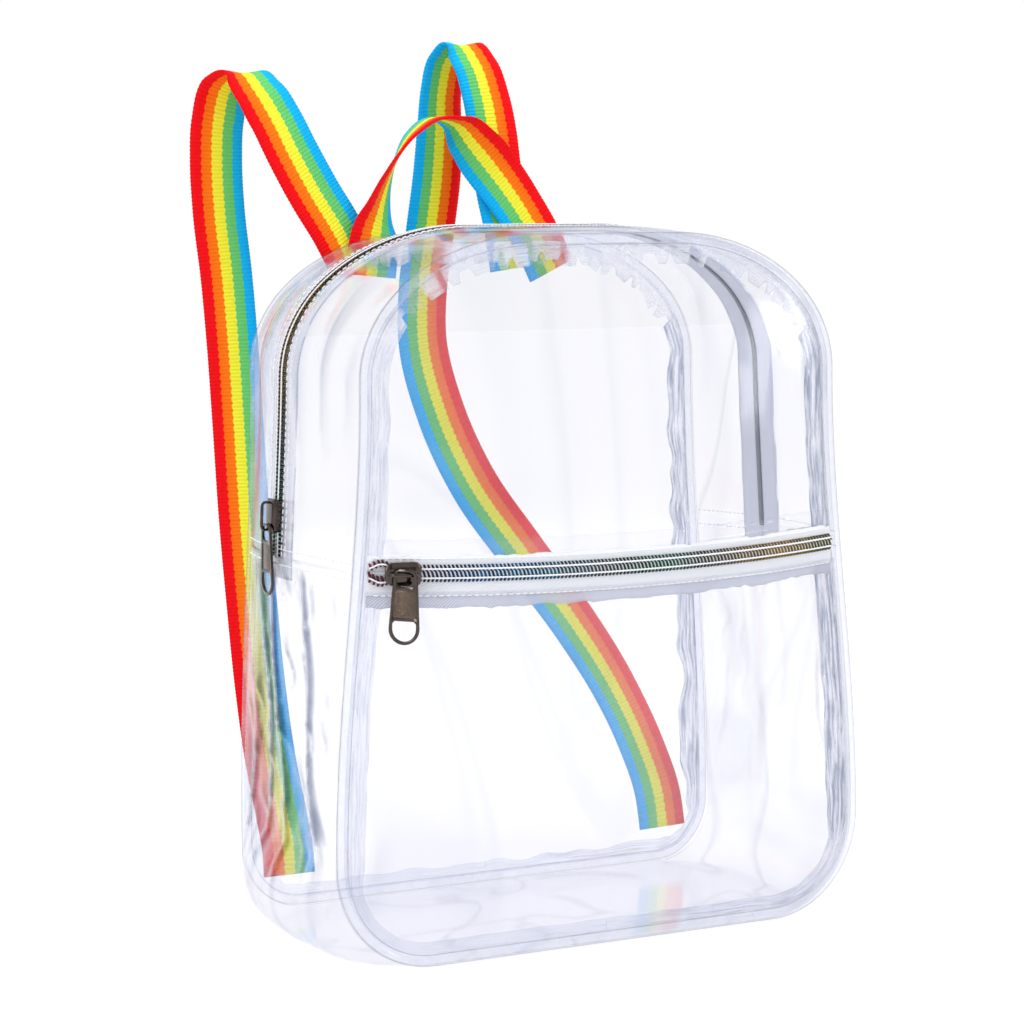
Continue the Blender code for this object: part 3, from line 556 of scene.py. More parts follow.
def webbingMaterial():
    # Woven polypropylene webbing in five dyed stripes: bright, slightly lustrous yarns in ribs
    # across the band, drawn at 1.7 mm. The real ones are about 1.4 mm apart
    material, tree, _ = startMaterial("wovenStripedWebbing")
    uv = addNode(tree, "UVMap", uv_map="weave")
    parts = addNode(tree, "SeparateXYZ", {"Vector": uv})
    wobble = addNode(tree, "TexNoise", {"Vector": uv, "Scale": 0.9, "Detail": 1.0})
    zig = addNode(tree, "Math", {0: parts.outputs["Y"], 1: 2 * math.pi / 3.4}, operation="MULTIPLY")
    zag = addNode(tree, "Math", {0: zig}, operation="SINE")
    jag = addNode(tree, "Math", {0: zag, 1: 0.26, 2: parts.outputs["X"]}, operation="MULTIPLY_ADD")
    drift = addNode(tree, "Math", {0: wobble, 1: 0.5, 2: jag}, operation="MULTIPLY_ADD")
    share = addNode(tree, "Math", {0: drift, 1: 1 / 25, 2: -0.01}, operation="MULTIPLY_ADD")
    stripes = addNode(tree, "ValToRGB", {"Fac": share}, stops=(
        (0.0, "#04AAF0"), (0.190, "#08B2EE"), (0.205, "#62C46C"), (0.385, "#68C870"),
        (0.400, "#EEEC3A"), (0.590, "#F2EC38"), (0.605, "#FC7A0A"), (0.785, "#FA6C04"),
        (0.800, "#F2040E"), (1.0, "#EC000C"),
    ))
    slanted = addNode(tree, "Mapping", {"Vector": uv, "Rotation": (0, 0, math.radians(4))})
    yarn = addNode(tree, "TexWave", {
        "Vector": slanted, "Scale": 0.185, "Distortion": 0.8, "Detail": 2.0, "Detail Scale": 2.0,
    }, bands_direction="Y")
    fleck = addNode(tree, "TexNoise", {"Vector": uv, "Scale": 2.2, "Detail": 3.0, "Roughness": 0.7})
    # Painted shade and highlight of the ribs: darker and lighter by turns along the band
    shade = addNode(tree, "MapRange", {
        "Value": yarn.outputs["Fac"], "To Min": 0.90, "To Max": 1.05,
    })
    fleckShade = addNode(tree, "MapRange", {
        "Value": fleck, "From Min": 0.3, "From Max": 0.7, "To Min": 0.93, "To Max": 1.05,
    })
    tone = addNode(tree, "Math", {0: shade, 1: fleckShade}, operation="MULTIPLY")
    both = addNode(tree, "VectorMath", {0: stripes, "Scale": tone}, operation="SCALE")
    bump = addNode(tree, "Bump", {
        "Height": yarn.outputs["Fac"], "Strength": 0.4, "Distance": 0.0004,
    })
    cloth = addNode(tree, "BsdfPrincipled", {
        "Base Color": both, "Roughness": 0.7, "Specular IOR Level": 0.15, "Normal": bump,
    })
    addNode(tree, "OutputMaterial", {"Surface": cloth})
    return material


webbingCloth = webbingMaterial()
print("materials made")


def makeObject(name, points, faces, uvName=None, uvs=None):
    mesh = bpy.data.meshes.new(name)
    mesh.from_pydata([tuple(p) for p in points], [], faces)
    if uvs is not None:
        layer = mesh.uv_layers.new(name=uvName)
        corners = np.empty(len(mesh.loops), np.int32)
        mesh.loops.foreach_get("vertex_index", corners)
        layer.uv.foreach_set("vector", np.array(uvs, np.float32)[corners].ravel())
    mesh.update()
    mesh.shade_smooth()
    obj = bpy.data.objects.new(name, mesh)
    bpy.context.scene.collection.objects.link(obj)
    return obj


def faceOutwards(obj):
    shape = bmesh.new()
    shape.from_mesh(obj.data)
    bmesh.ops.recalc_face_normals(shape, faces=shape.faces)
    shape.to_mesh(obj.data)
    shape.free()


def loftRings(name, points, ring, closed=False, uvs=None):
    # A skin over rings of points, closed on itself or capped at both ends
    count = len(points) // ring
    faces = [] if closed else [tuple(reversed(range(ring)))]
    for i in range(count if closed else count - 1):
        after = (i + 1) % count
        for j in range(ring):
            k = (j + 1) % ring
            faces.append((i * ring + j, i * ring + k, after * ring + k, after * ring + j))
    if not closed:
        faces.append(tuple(range((count - 1) * ring, count * ring)))
    obj = makeObject(name, points, faces, "weave" if uvs else None, uvs)
    faceOutwards(obj)
    return obj


def only(obj):
    bpy.ops.object.select_all(action="DESELECT")
    obj.select_set(True)
    bpy.context.view_layer.objects.active = obj


def applyModifier(obj, kind, **settings):
    only(obj)
    change = obj.modifiers.new(kind.title(), kind)
    for name, value in settings.items():
        setattr(change, name, value)
    bpy.ops.object.modifier_apply(modifier=change.name)


def finishPiece(obj, material, body="bag", stands=()):
    obj.data.materials.clear()
    obj.data.materials.append(material)
    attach(obj, body)
    if stands:
        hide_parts(*stands)


def makeSheet(name, place, firsts, seconds, thickness, offset=-1.0, uvs=None, foldAt=None):
    # A sheet over two lists of parameters, whose outer face looks along first x second
    points = [place(a, b) for a in firsts for b in seconds]
    wide = len(seconds)
    faces = []
    for i in range(len(firsts) - 1):
        for j in range(wide - 1):
            k = i * wide + j
            faces.append((k, k + wide, k + wide + 1, k + 1))
    obj = makeObject(name, points, faces, "weave" if uvs else None, uvs)
    if foldAt:
        folds = obj.data.attributes.new("fold", "FLOAT", "POINT")
        folds.data.foreach_set("value", [foldAt(a, b) for a in firsts for b in seconds])
    applyModifier(obj, "SOLIDIFY", thickness=thickness, offset=offset, use_even_offset=True)
    obj.data.shade_smooth()
    return obj


def crease(x, y, z, size, seed):
    # Height of creased film, with soft hollows between narrower ridges
    a = noise.noise(Vector((x / size + seed, y / size - seed, z / size + 2 * seed)))
    b = noise.noise(Vector((x / size * 2.3 - seed, y / size * 2.3 + seed, z / size * 2.3)))
    return (0.5 - abs(a)) + 0.45 * (0.5 - abs(b))


def wave(x, y, z, size, seed):
    return noise.noise(Vector((x / size + seed, y / size + 3 * seed, z / size - seed)))


def edgeFade(distance, width):
    t = min(max(distance / width, 0), 1)
    return t * t * (3 - 2 * t)


# Wrinkles of the clear film, as heights and sizes
wrinkles = {
    "film": 0.7 * mm,
    "panelWave": 1.0 * mm,
    "panelWaveSize": 62 * mm,
    "panelCrease": 0.30 * mm,
    "panelCreaseSize": 34 * mm,
    "gussetCrumple": 2.2 * mm,
    "gussetCrumpleSize": 26 * mm,
    "rightShare": 0.3,
    "topFold": 1.6 * mm,
    "topFoldSize": 30 * mm,
    "foldShade": 1.3,
    "calmSide": 25 * mm,
    "calmTop": 30 * mm,
    "calmLow": 20 * mm,
    "calmZip": 15 * mm,
    "calmRim": 12 * mm,
}


def calm(x, z, half, top):
    # Fades the wrinkles out towards the edge seams
    fade = edgeFade(half - abs(x), wrinkles["calmSide"]) * edgeFade(top - z, wrinkles["calmTop"])
    return fade * edgeFade(z - panelInset, wrinkles["calmLow"])


def frontPanelPlace(run, across):
    x, z = insetOutline(run, panelInset, -halfDepth + pipingCentre)
    x *= across
    y = frontY(x, z, frontSwellAt, frontLayer)
    # It stays flat beside the pocket's zip too
    still = edgeFade(abs(z - zipHeight(x)) - wrinkles["calmZip"], wrinkles["calmSide"])
    still *= calm(x, z, halfWidth(z), bag["height"] - panelInset)
    lift = wrinkles["panelWave"] * wave(x * 1.3, 0, z * 0.8, wrinkles["panelWaveSize"], 3.1)
    lift += wrinkles["panelCrease"] * crease(x, 0, z, wrinkles["panelCreaseSize"], 1.7)
    return Vector((x, y + still * lift, z))


def pocketPanelPlace(run, across):
    rim = bag["seamHeight"] - bag["pocketRimDrop"]
    x, z = insetOutline(run, panelInset, -halfDepth + pipingCentre)
    low = max(z - bag["pocketSag"] * (1 - across * across) * z / rim, panelInset)
    x *= across
    y = frontY(x, z, pocketSwellAt, pocketLayer)
    still = calm(x, z, halfWidth(z), rim)
    lift = wrinkles["panelWave"] * wave(x * 0.8, 0, z * 1.5, wrinkles["panelWaveSize"], 7.7)
    lift += wrinkles["panelCrease"] * crease(x, 0, z, wrinkles["panelCreaseSize"], 5.2)
    return Vector((x, y + still * lift, low))


def backPanelPlace(run, across):
    x, z = insetOutline(run, panelInset, halfDepth - pipingCentre)
    x *= across
    still = calm(x, z, halfWidth(z, backOpening), bag["height"] - panelInset)
    lift = wrinkles["panelWave"] * wave(x, 0, z * 0.8, wrinkles["panelWaveSize"], 9.3) - 0.5 * mm
    return Vector((x, backY(x, z) + still * lift, z))


def makePanels():
    rim = runAtHeight(bag["seamHeight"] - bag["pocketRimDrop"])
    for name, place, stop, rows, shares, node in (
        ("frontPanelFilm", frontPanelPlace, cornerEnd, 120, spread(1, -1, 84), "front_panel"),
        ("pocketPanelFilm", pocketPanelPlace, rim, 76, spread(1, -1, 84), "pocket_panel"),
        ("backPanelFilm", backPanelPlace, cornerEnd, 100, spread(-1, 1, 70), "back_panel"),
    ):
        panel = makeSheet(name, place, spread(cornerStart, stop, rows), shares, wrinkles["film"])
        finishPiece(panel, clearFilm, stands=(node,))


def folded(x, y, z, size, seed):
    # Long soft folds that lean and branch, with a sharper crest
    bent = y + 0.7 * size * noise.noise(Vector((seed, y / size * 0.5, z / size * 0.5)))
    a = noise.noise(Vector((x / size * 0.25 + seed, bent / size, z / size * 0.22 - seed)))
    return 1 - min(abs(a) * 4.6, 1.0) ** 0.75


def lowerGussetPush(run, y):
    x, z, _, _ = onOutline(run, y)
    if z < 3 * mm:
        return 0.0
    rim = edgeFade(gussetEdge - abs(y), wrinkles["calmRim"]) * edgeFade(z, 14 * mm)
    rim *= edgeFade(bag["seamHeight"] - z, 10 * mm) * (0.25 + 0.75 * edgeFade(z - 18 * mm, 45 * mm))
    # The right side is smoother than the left
    rim *= 1 if x < 0 else wrinkles["rightShare"]
    size = wrinkles["gussetCrumpleSize"]
    fold = folded(x, y, z, size, 4.4) + 0.4 * folded(x, y, z * 1.8, size * 0.6, 9.2)
    return rim * wrinkles["gussetCrumple"] * (fold - 0.6)


def upperGussetPush(run, y):
    x, z, _, _ = onOutline(run, y)
    slot = edgeFade(abs(y - zipMiddle) - (slotBack - zipMiddle), 14 * mm)
    rim = edgeFade(gussetEdge - abs(y), wrinkles["calmRim"])
    corner = math.exp(-((z - bag["easedFrom"]) / (42 * mm)) ** 2)
    fold = folded(z * 0.7, y * 0.8, x * 1.6, wrinkles["topFoldSize"], 2.6) - 0.45
    side = 1 if x < 0 else wrinkles["rightShare"]
    return rim * slot * wrinkles["topFold"] * fold * (0.35 + corner) * side


def foldOf(push):
    # Slope of a fold, above zero on the side that loses light and below it on the side that gains
    def at(run, y):
        step = 1.0 * mm
        slope = (push(run, y + step) - push(run, y - step)) / (2 * step)
        rise = (push(run + step, y) - push(run - step, y)) / (2 * step)
        # The film paints shade where this is above zero and a highlight where it is below
        both = (slope + 0.5 * rise) * wrinkles["foldShade"]
        return max(min(math.copysign(abs(both) ** 1.4, both), 0.6), -0.6)

    return at


def makeGussets():
    seam = runAtHeight(bag["seamHeight"])
    low = spread(seam - bag["gap"] / 2, -seam + bag["gap"] / 2, 250)
    high = spread(2 * halfLoop - seam - bag["gap"] / 2, seam + bag["gap"] / 2, 250)
    edge = gussetEdge
    for name, push, runs, start, stop, rows, node in (
        ("lowerGussetFilm", lowerGussetPush, low, -edge, edge, 64, "lower_gusset"),
        ("upperGussetFrontFilm", upperGussetPush, high, -edge, slotFront, 32, "upper_gusset_front"),
        ("upperGussetBackFilm", upperGussetPush, high, slotBack, edge, 24, "upper_gusset_back"),
    ):
        film = makeSheet(
            name, lambda run, y: onGusset(run, y, push(run, y)), runs, spread(start, stop, rows),
            wrinkles["film"], foldAt=foldOf(push),
        )
        finishPiece(film, gussetFilm, stands=(node,))


makePanels()
makeGussets()
print("clear sheets made")

# The welts round the two panels: a cord bead and a narrower flat bead beside it
welt = {
    "beadRadius": 1.75 * mm,
    "beadOut": 0.75 * mm,
    "flatRadius": 1.25 * mm,
    "flatOut": -1.2 * mm,
    "allowance": 9.5 * mm,
    "allowanceFilm": 0.5 * mm,
    "allowanceBehind": 1.6 * mm,
    "tucked": 1.2 * mm,
    "ruffle": 0.5 * mm,
    "notch": 11 * mm,
    "notchesFrom": 265 * mm,
}


def weltSection(count=20):
    # Farthest point of the two beads in each direction from the middle
    section = []
    for a in spread(0, 2 * math.pi, count)[:-1]:
        reach = 0.0
        for bead in ("bead", "flat"):
            out, radius = welt[bead + "Out"], welt[bead + "Radius"]
            along = out * math.cos(a)
            inside = radius**2 - (out * math.sin(a)) ** 2
            if inside > 0:
                reach = max(reach, along + math.sqrt(inside))
        section.append((reach * math.cos(a), reach * math.sin(a)))
    return section


def makeWelt(name, y, node):
    section = weltSection()
    points = []
    for run in spread(-halfLoop, halfLoop, 460)[:-1]:
        x, z, normalX, normalZ = onOutline(run, y)
        for out, deep in section:
            reach = out - pipingCentre
            points.append((x + normalX * reach, y + deep, z + normalZ * reach))
    obj = loftRings(name, points, len(section), closed=True)
    finishPiece(obj, cordFilm, stands=(node,))


def allowanceDepth(run, z, uneven):
    # Cut edge of the allowance: wavy, and notched round the top where the sheets are eased in
    depth = welt["allowance"] * (1 + uneven * noise.noise(Vector((run / (13 * mm), 0.3, 0))))
    if z > welt["notchesFrom"]:
        turn = (run / welt["notch"] + 1.1 * noise.noise(Vector((run / (17 * mm), 4.0, 0)))) % 1.0
        depth *= 0.55 if turn < 0.36 else 1.0
    return depth * (0.6 + 0.4 * edgeFade(z - 15 * mm, 40 * mm))


def allowancePaintedShare(x, z, front):
    # How much the painted blue-grey shows: most up the right side. Below zero it gives the white
    # patches round the top
    patch = edgeFade(noise.noise(Vector((x / (9 * mm), z / (9 * mm), 7.0))) + 0.05, 0.12)
    top = edgeFade(z - bag["easedFrom"], 14 * mm)
    side = edgeFade(x + 20 * mm, 90 * mm) * (0.85 if front else 0.55)
    low = 0.35 + 0.65 * edgeFade(z - 18 * mm, 30 * mm)
    return (1 - top) * (0.22 + side) * low - top * (0.16 + 0.7 * patch)


def makeAllowance(name, y, inward):
    runs = spread(0, 2 * halfLoop, 570)

    def place(run, share):
        _, z, _, _ = onOutline(run, y)
        depth = allowanceDepth(run, z, 0.1 if inward > 0 else 0.4)
        x, high = insetOutline(run, panelInset - welt["tucked"] + depth * share, y)
        deep = frontY(x, high, frontSwellAt, frontLayer) if inward > 0 else backY(x, high)
        ruffle = 1 + noise.noise(Vector((run / (9 * mm), share, 5.0)))
        behind = welt["allowanceBehind"] + welt["ruffle"] * ruffle * share
        return Vector((x, deep + inward * behind, high))

    shares = (0.0, 0.35, 0.7, 1.0)
    uvs = [(run / mm, share * welt["allowance"] / mm) for run in runs for share in shares]
    strip = makeSheet(
        name, place, runs, shares, welt["allowanceFilm"], offset=0, uvs=uvs,
        foldAt=lambda run, share: allowancePaintedShare(*onOutline(run, y)[:2], inward > 0),
    )
    finishPiece(strip, allowanceFilm)


makeWelt("frontWelt", -halfDepth + pipingCentre, "front_piping")
makeWelt("backWelt", halfDepth - pipingCentre, "back_piping")
makeAllowance("frontSeamAllowance", -halfDepth + pipingCentre, 1)
makeAllowance("backSeamAllowance", halfDepth - pipingCentre, -1)
print("welts made")


def pick(obj, kind, test):
    # Selects the vertices, edges or faces that pass the test, in edit mode
    shape = bmesh.from_edit_mesh(obj.data)
    for item in list(shape.verts) + list(shape.edges) + list(shape.faces):
        item.select = False
    chosen = {"verts": shape.verts, "edges": shape.edges, "faces": shape.faces}[kind]
    for item in chosen:
        if test(item):
            item.select_set(True)
    bmesh.update_edit_mesh(obj.data)


def startCube(name, size, centre):
    bpy.ops.object.select_all(action="DESELECT")
    bpy.ops.mesh.primitive_cube_add(size=1, location=(0, 0, 0))
    obj = bpy.context.object
    obj.name = name
    bpy.ops.object.mode_set(mode="EDIT")
    bpy.ops.mesh.select_all(action="SELECT")
    bpy.ops.transform.resize(value=size)
    bpy.ops.transform.translate(value=centre)
    return obj


def scatter(name, master, matrices, tags, material):
    # One mesh made of a copy of the master's at each matrix, tagged with its place along the zip
    mesh = master.data
    base = np.array([v.co for v in mesh.vertices])
    count = len(base)
    points, faces, uvs = [], [], []
    polygons = [tuple(p.vertices) for p in mesh.polygons]
    for n, (matrix, tag) in enumerate(zip(matrices, tags)):
        turned = base @ np.array(matrix.to_3x3()).T + np.array(matrix.translation)
        points += [tuple(p) for p in turned]
        faces += [tuple(v + n * count for v in face) for face in polygons]
        uvs += [tag] * count
    obj = makeObject(name, points, faces, "alongZip", uvs)
    finishPiece(obj, material)
    return obj


zips = {
    "pitch": 1.72 * mm,
    "toothWide": 0.95 * mm,
    "toothOut": 3.6 * mm,
    "toothTall": 1.9 * mm,
    "toothBevel": 0.26 * mm,
    "toothDrop": 0.7 * mm,
    # Inner end, and how far both ends lean along the zip
    "upperTooth": (0.75 * mm, 0.45 * mm, -0.55 * mm),
    "lowerTooth": (-1.0 * mm, -0.85 * mm, -0.35 * mm),
    "threadAcross": 1.85 * mm,
    "threadRadius": 0.40 * mm,
    "threadSink": 0.15 * mm,
    "bedWide": 3.1 * mm,
    "bedTall": 1.25 * mm,
    "bedLift": 0.1 * mm,
    "shadeBandRadius": 2.0 * mm,
    "stitchLong": 2.3 * mm,
    "stitchEvery": 3.0 * mm,
    "stitchRadius": 0.26 * mm,
    "tapeThick": 0.8 * mm,
    "tapeRipple": 0.8 * mm,
    "mainSliderHeight": 185 * mm,
    "mainSplit": 1.15 * mm,
    "mainTail": 9 * mm,
    "mainTapeFront": (-5 * mm, 8.85 * mm),
    "mainTapeBack": (9.15 * mm, 23 * mm),
    "mainSewing": (2.4 * mm, 15.6 * mm, -1.5 * mm, 19.5 * mm),
    "pocketSlider": -98 * mm,
    "pocketEnd": 111 * mm,
    "pocketSplit": 1.9 * mm,
    "pocketSewing": (5.9 * mm, -9.2 * mm),
    "sideSewing": (165 * mm, 171.5 * mm),
}


def makeTooth(name, inner, innerLean, outerLean):
    # One turn of the coil, bent under the sewing thread and low at its outer end
    long = zips["toothOut"] - inner
    size = (zips["toothWide"], long, zips["toothTall"])
    obj = startCube(name, size, (0, inner + long / 2, size[2] / 2))
    bpy.ops.mesh.bevel(offset=zips["toothBevel"], segments=1, affect="EDGES")
    bpy.ops.mesh.select_all(action="SELECT")
    bpy.ops.mesh.bisect(plane_co=(0, zips["threadAcross"], 0), plane_no=(0, 1, 0))
    pick(obj, "verts", lambda v: v.co.y < zips["threadAcross"] - 0.1 * mm)
    bpy.ops.transform.translate(value=(innerLean, 0, 0))
    outside = zips["threadAcross"] + 0.1 * mm
    pick(obj, "verts", lambda v: v.co.y > outside)
    bpy.ops.transform.translate(value=(outerLean, 0, 0))
    pick(obj, "verts", lambda v: v.co.z > zips["toothTall"] * 0.5 and v.co.y > outside)
    bpy.ops.transform.translate(value=(0, 0, -zips["toothDrop"]))
    bpy.ops.object.mode_set(mode="OBJECT")
    return obj


def makeStitches(name, matrices):
    scatter(name, stitch, matrices, [(0, 0)] * len(matrices), whiteThread)


def makeStitch():
    bpy.ops.object.select_all(action="DESELECT")
    bpy.ops.mesh.primitive_uv_sphere_add(segments=6, ring_count=5, radius=1)
    obj = bpy.context.object
    obj.name = "stitchMaster"
    bpy.ops.object.mode_set(mode="EDIT")
    bpy.ops.mesh.select_all(action="SELECT")
    bpy.ops.transform.rotate(value=math.pi / 2, orient_axis="Y", center_override=(0, 0, 0))
    bpy.ops.transform.resize(
        value=(zips["stitchLong"] / 2, zips["stitchRadius"] * 1.3, zips["stitchRadius"])
    )
    pick(obj, "verts", lambda v: 0.1 * mm < abs(v.co.x) < zips["stitchLong"] * 0.49)
    bpy.ops.transform.resize(value=(1.12, 1, 1), center_override=(0, 0, 0))
    bpy.ops.object.mode_set(mode="OBJECT")
    return obj


# The lower row's turns lie over the upper row's, as they look when a coil is closed
upperTooth = makeTooth("upperToothMaster", *zips["upperTooth"])
lowerTooth = makeTooth("lowerToothMaster", *zips["lowerTooth"])
stitch = makeStitch()
tagNoise = np.random.default_rng(11)


def makeTeeth(name, frameAt, start, stop, openAt, material, node):
    # Both rows of turns. The frame's X runs along the zip, Y across and Z outwards
    count = int(abs(stop - start) / zips["pitch"])
    for side, master, label in ((1, upperTooth, "Upper"), (-1, lowerTooth, "Lower")):
        matrices, tags = [], []
        for i in range(count):
            share = (i + 0.5) / count
            run = start + (stop - start) * share
            mirror = Matrix.Diagonal((1, side, 1, 1))
            matrices.append(frameAt(run) @ Matrix.Translation((0, side * openAt(run), 0)) @ mirror)
            tags.append((share, float(tagNoise.random())))
        row = scatter(name + label, master, matrices, tags, material)
        faceOutwards(row)
        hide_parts(node)


def sewRow(placeAt, start, stop):
    # Matrices of a row of stitches. placeAt gives a frame with X along the row and Z outwards
    count = max(int(abs(stop - start) / zips["stitchEvery"]), 1)
    return [placeAt(start + (stop - start) * (i + 0.5) / count) for i in range(count)]


def makeCord(name, places, offsets, radius, material, count=6, flat=1.0):
    # A cord through an offset in each frame, which has Y across the cord and Z outwards
    points = []
    for place, offset in zip(places, offsets):
        centre, turned = place @ Vector(offset), place.to_3x3()
        for a in spread(0, 2 * math.pi, count)[:-1]:
            across, up = radius * math.cos(a), radius * flat * math.sin(a)
            points.append(centre + turned.col[1] * across + turned.col[2] * up)
    finishPiece(loftRings(name, points, count), material)


mainSeam = runAtHeight(bag["seamHeight"])
mainStart, mainStop = 2 * halfLoop - mainSeam, mainSeam
mainSliderRun = 2 * halfLoop - runAtHeight(zips["mainSliderHeight"])


def mainZipFrame(run):
    return gussetFrame(run, zipMiddle, -bag["sheet"])


def mainOpen(run):
    # The rows part below the slider
    return zips["mainSplit"] * edgeFade(run - mainSliderRun, 9 * mm)


def shadeInnerFaces(tape):
    # The tape's inner side takes the greyer copy: painted shade
    tape.data.materials.append(shadedInnerTape)
    middle = Vector((0, 0, bag["height"] * 0.45))
    for face in tape.data.polygons:
        away = face.center - middle
        face.material_index = 1 if face.normal.dot(Vector((away.x, 0, away.z))) < 0 else 0


def makeCoil(name, frameAt, start, stop, openAt, bedStart, bedStop, count, plate, node, labels):
    # Both rows of turns, the threads along them, and the cord that they are sewn over, which
    # shows white between them
    makeTeeth(name + "Teeth", frameAt, start, stop, openAt, plate, node)
    places = [frameAt(run) for run in spread(bedStart, bedStop, count)]
    low = [(0, 0, zips["bedLift"])] * len(places)
    flat = zips["bedTall"] / zips["bedWide"]
    makeCord(name + "Cord", places, low, zips["bedWide"], whiteThread, 14, flat)
    runs = spread(start, stop, count)
    places = [frameAt(run) for run in runs]
    lift = zips["toothTall"] - zips["threadSink"]
    for side, label in zip((1, -1), labels):
        offsets = [(0, side * (zips["threadAcross"] + openAt(run)), lift) for run in runs]
        makeCord(name + "Thread" + label, places, offsets, zips["threadRadius"], whiteThread)


def makeMainZip():
    makeCoil(
        "mainZip", mainZipFrame, mainStart, mainStop, mainOpen, mainStart, mainSliderRun, 300,
        mainCoilPlate, "main_zip_coil", ("Back", "Front"),
    )
    runs = spread(mainStart + zips["mainTail"], mainStop - zips["mainTail"], 260)
    under = -bag["sheet"] - bag["gap"]
    for label, near, far in (("Front", *zips["mainTapeFront"]), ("Back", *zips["mainTapeBack"])):
        cut = near if label == "Front" else far

        def place(run, y):
            # The cut edge is wavy
            ripple = noise.noise(Vector((run / (16 * mm), y, 8.0))) if y == cut else 0
            return onGusset(run, y + zips["tapeRipple"] * ripple, under)

        ys = spread(near, far, 6)
        uvs = [(run / mm, y / mm) for run in runs for y in ys]
        tape = makeSheet("mainZipTape" + label, place, runs, ys, zips["tapeThick"], uvs=uvs)
        finishPiece(tape, polyesterTape, stands=("main_zip_tape_" + label.lower(),))
        shadeInnerFaces(tape)
    # A flat grey band inside the tapes under the coil: painted shade of the coil's back
    inner = [gussetFrame(run, zipMiddle, under - mm) for run in spread(mainStart, mainStop, 260)]
    offsets = [(0, 0, 0)] * len(inner)
    makeCord("mainZipCoilBackShade", inner, offsets, zips["shadeBandRadius"], coilBackShade, flat=0.25)
    matrices = []
    for y in zips["mainSewing"]:
        matrices += sewRow(lambda run: gussetFrame(run, y, 0.1 * mm), mainStart, mainStop)
    makeStitches("mainZipStitches", matrices)


pocketHalf = halfWidth(bag["seamHeight"])


def pocketZipFrame(x):
    return pocketFrame(x / pocketHalf, 0, tapeLayer - bag["gap"])


def pocketOpen(x):
    # The rows part left of the slider and meet again at the end stop
    left = zips["pocketSlider"] - 2 * mm - x
    end = x + zips["pocketEnd"] + 0.5 * mm
    return zips["pocketSplit"] * edgeFade(left, 5 * mm) * edgeFade(end, 5 * mm)


def makePocketZip():
    end = zips["pocketEnd"]
    makeCoil(
        "pocketZip", pocketZipFrame, -end, end, pocketOpen, zips["pocketSlider"], end, 120,
        pocketCoilPlate, "pocket_zip_coil", ("Upper", "Lower"),
    )
    across = spread(1, -1, 220)
    # Beyond the sewing the tape lies under film below, and only the film goes on above
    for name, node, ups, material, free in (
        ("TapeUpper", "upper", (0.15, 2.4, 4.8, 7.2), polyesterTape, 7.2),
        ("HemUpper", "upper", (7.5, 9.5, 11.8, 14), clearFilm, 14),
        ("TapeLower", "lower", (-9.5, -7.2, -4.8, -2.4, -0.15), polyesterTape, None),
        ("HemLower", "lower", (-14.15, -12.5, -11, -9.6), hemTape, -14.15),
    ):
        def place(up, share):
            # A free edge is wavy
            ripple = noise.noise(Vector((share * 9.0, 2.0, 0.7)))
            ripple += 0.6 * noise.noise(Vector((share * 31, 5.0, 3.0)))
            return onPocketZip(share, (up + (1.2 * ripple if up == free else 0)) * mm, tapeLayer)

        uvs = [(share * pocketHalf / mm, up) for up in ups for share in across]
        tape = makeSheet("pocketZip" + name, place, ups, across, zips["tapeThick"], uvs=uvs)
        finishPiece(tape, material, stands=("pocket_zip_tape_" + node,))
    matrices = []
    for up in zips["pocketSewing"]:
        layer = tapeLayer - (0.1 * mm if up > 0 else 1.5 * mm)
        matrices += sewRow(lambda x: pocketFrame(x / pocketHalf, up, layer), mm - end, end - mm)
    makeStitches("pocketZipStitches", matrices)


def makeSideSeams():
    # Two rows across each gusset, where the upper sheets are sewn to the lower one
    matrices = []
    turned = Matrix.Rotation(math.pi / 2, 4, "Z")
    for up in zips["sideSewing"]:
        for side in (1, -1):
            run = side * runAtHeight(up)
            matrices += sewRow(
                lambda y: gussetFrame(run, y, 0.2 * mm) @ turned, -gussetEdge, gussetEdge
            )
    makeStitches("sideSeamStitches", matrices)


makeMainZip()
makePocketZip()
makeSideSeams()
print("zips made")

slider = {
    "length": 15 * mm,
    "width": 10.5 * mm,
    "tailWidth": 9.2 * mm,
    "plate": 1.8 * mm,
    "railDrop": 1.2 * mm,
    "channel": 7.4 * mm,
    "crownOpening": 10.6 * mm,
    "crownClear": 3.4 * mm,
    "crownBar": 1.2 * mm,
    "crownWidth": 1.6 * mm,
    "crownRound": 1.9 * mm,
    "corner": 3.0 * mm,
    "standOff": 2.2 * mm,
    "dome": 0.5 * mm,
    "domeRim": 0.9 * mm,
    "domeSide": 1.2 * mm,
}


def roundCorner(before, corner, after, reach):
    start = corner + (before - corner).normalized() * reach
    stop = corner + (after - corner).normalized() * reach
    turns = spread(0, 1, 5)
    return [start * (1 - t) ** 2 + corner * 2 * t * (1 - t) + stop * t**2 for t in turns]


def roundedRun(corners, radius):
    # Corner points with each inner corner rounded
    corners = [Vector(corner) for corner in corners]
    points = corners[:1]
    for before, corner, after in zip(corners, corners[1:], corners[2:]):
        points += roundCorner(before, corner, after, radius)
    return points + corners[-1:]


def joinTo(obj, other, matrix, smoothAngle):
    # One mesh of both, put in its place on the bag
    only(obj)
    other.select_set(True)
    bpy.ops.object.join()
    obj.data.transform(matrix)
    bpy.ops.object.shade_smooth_by_angle(angle=math.radians(smoothAngle))


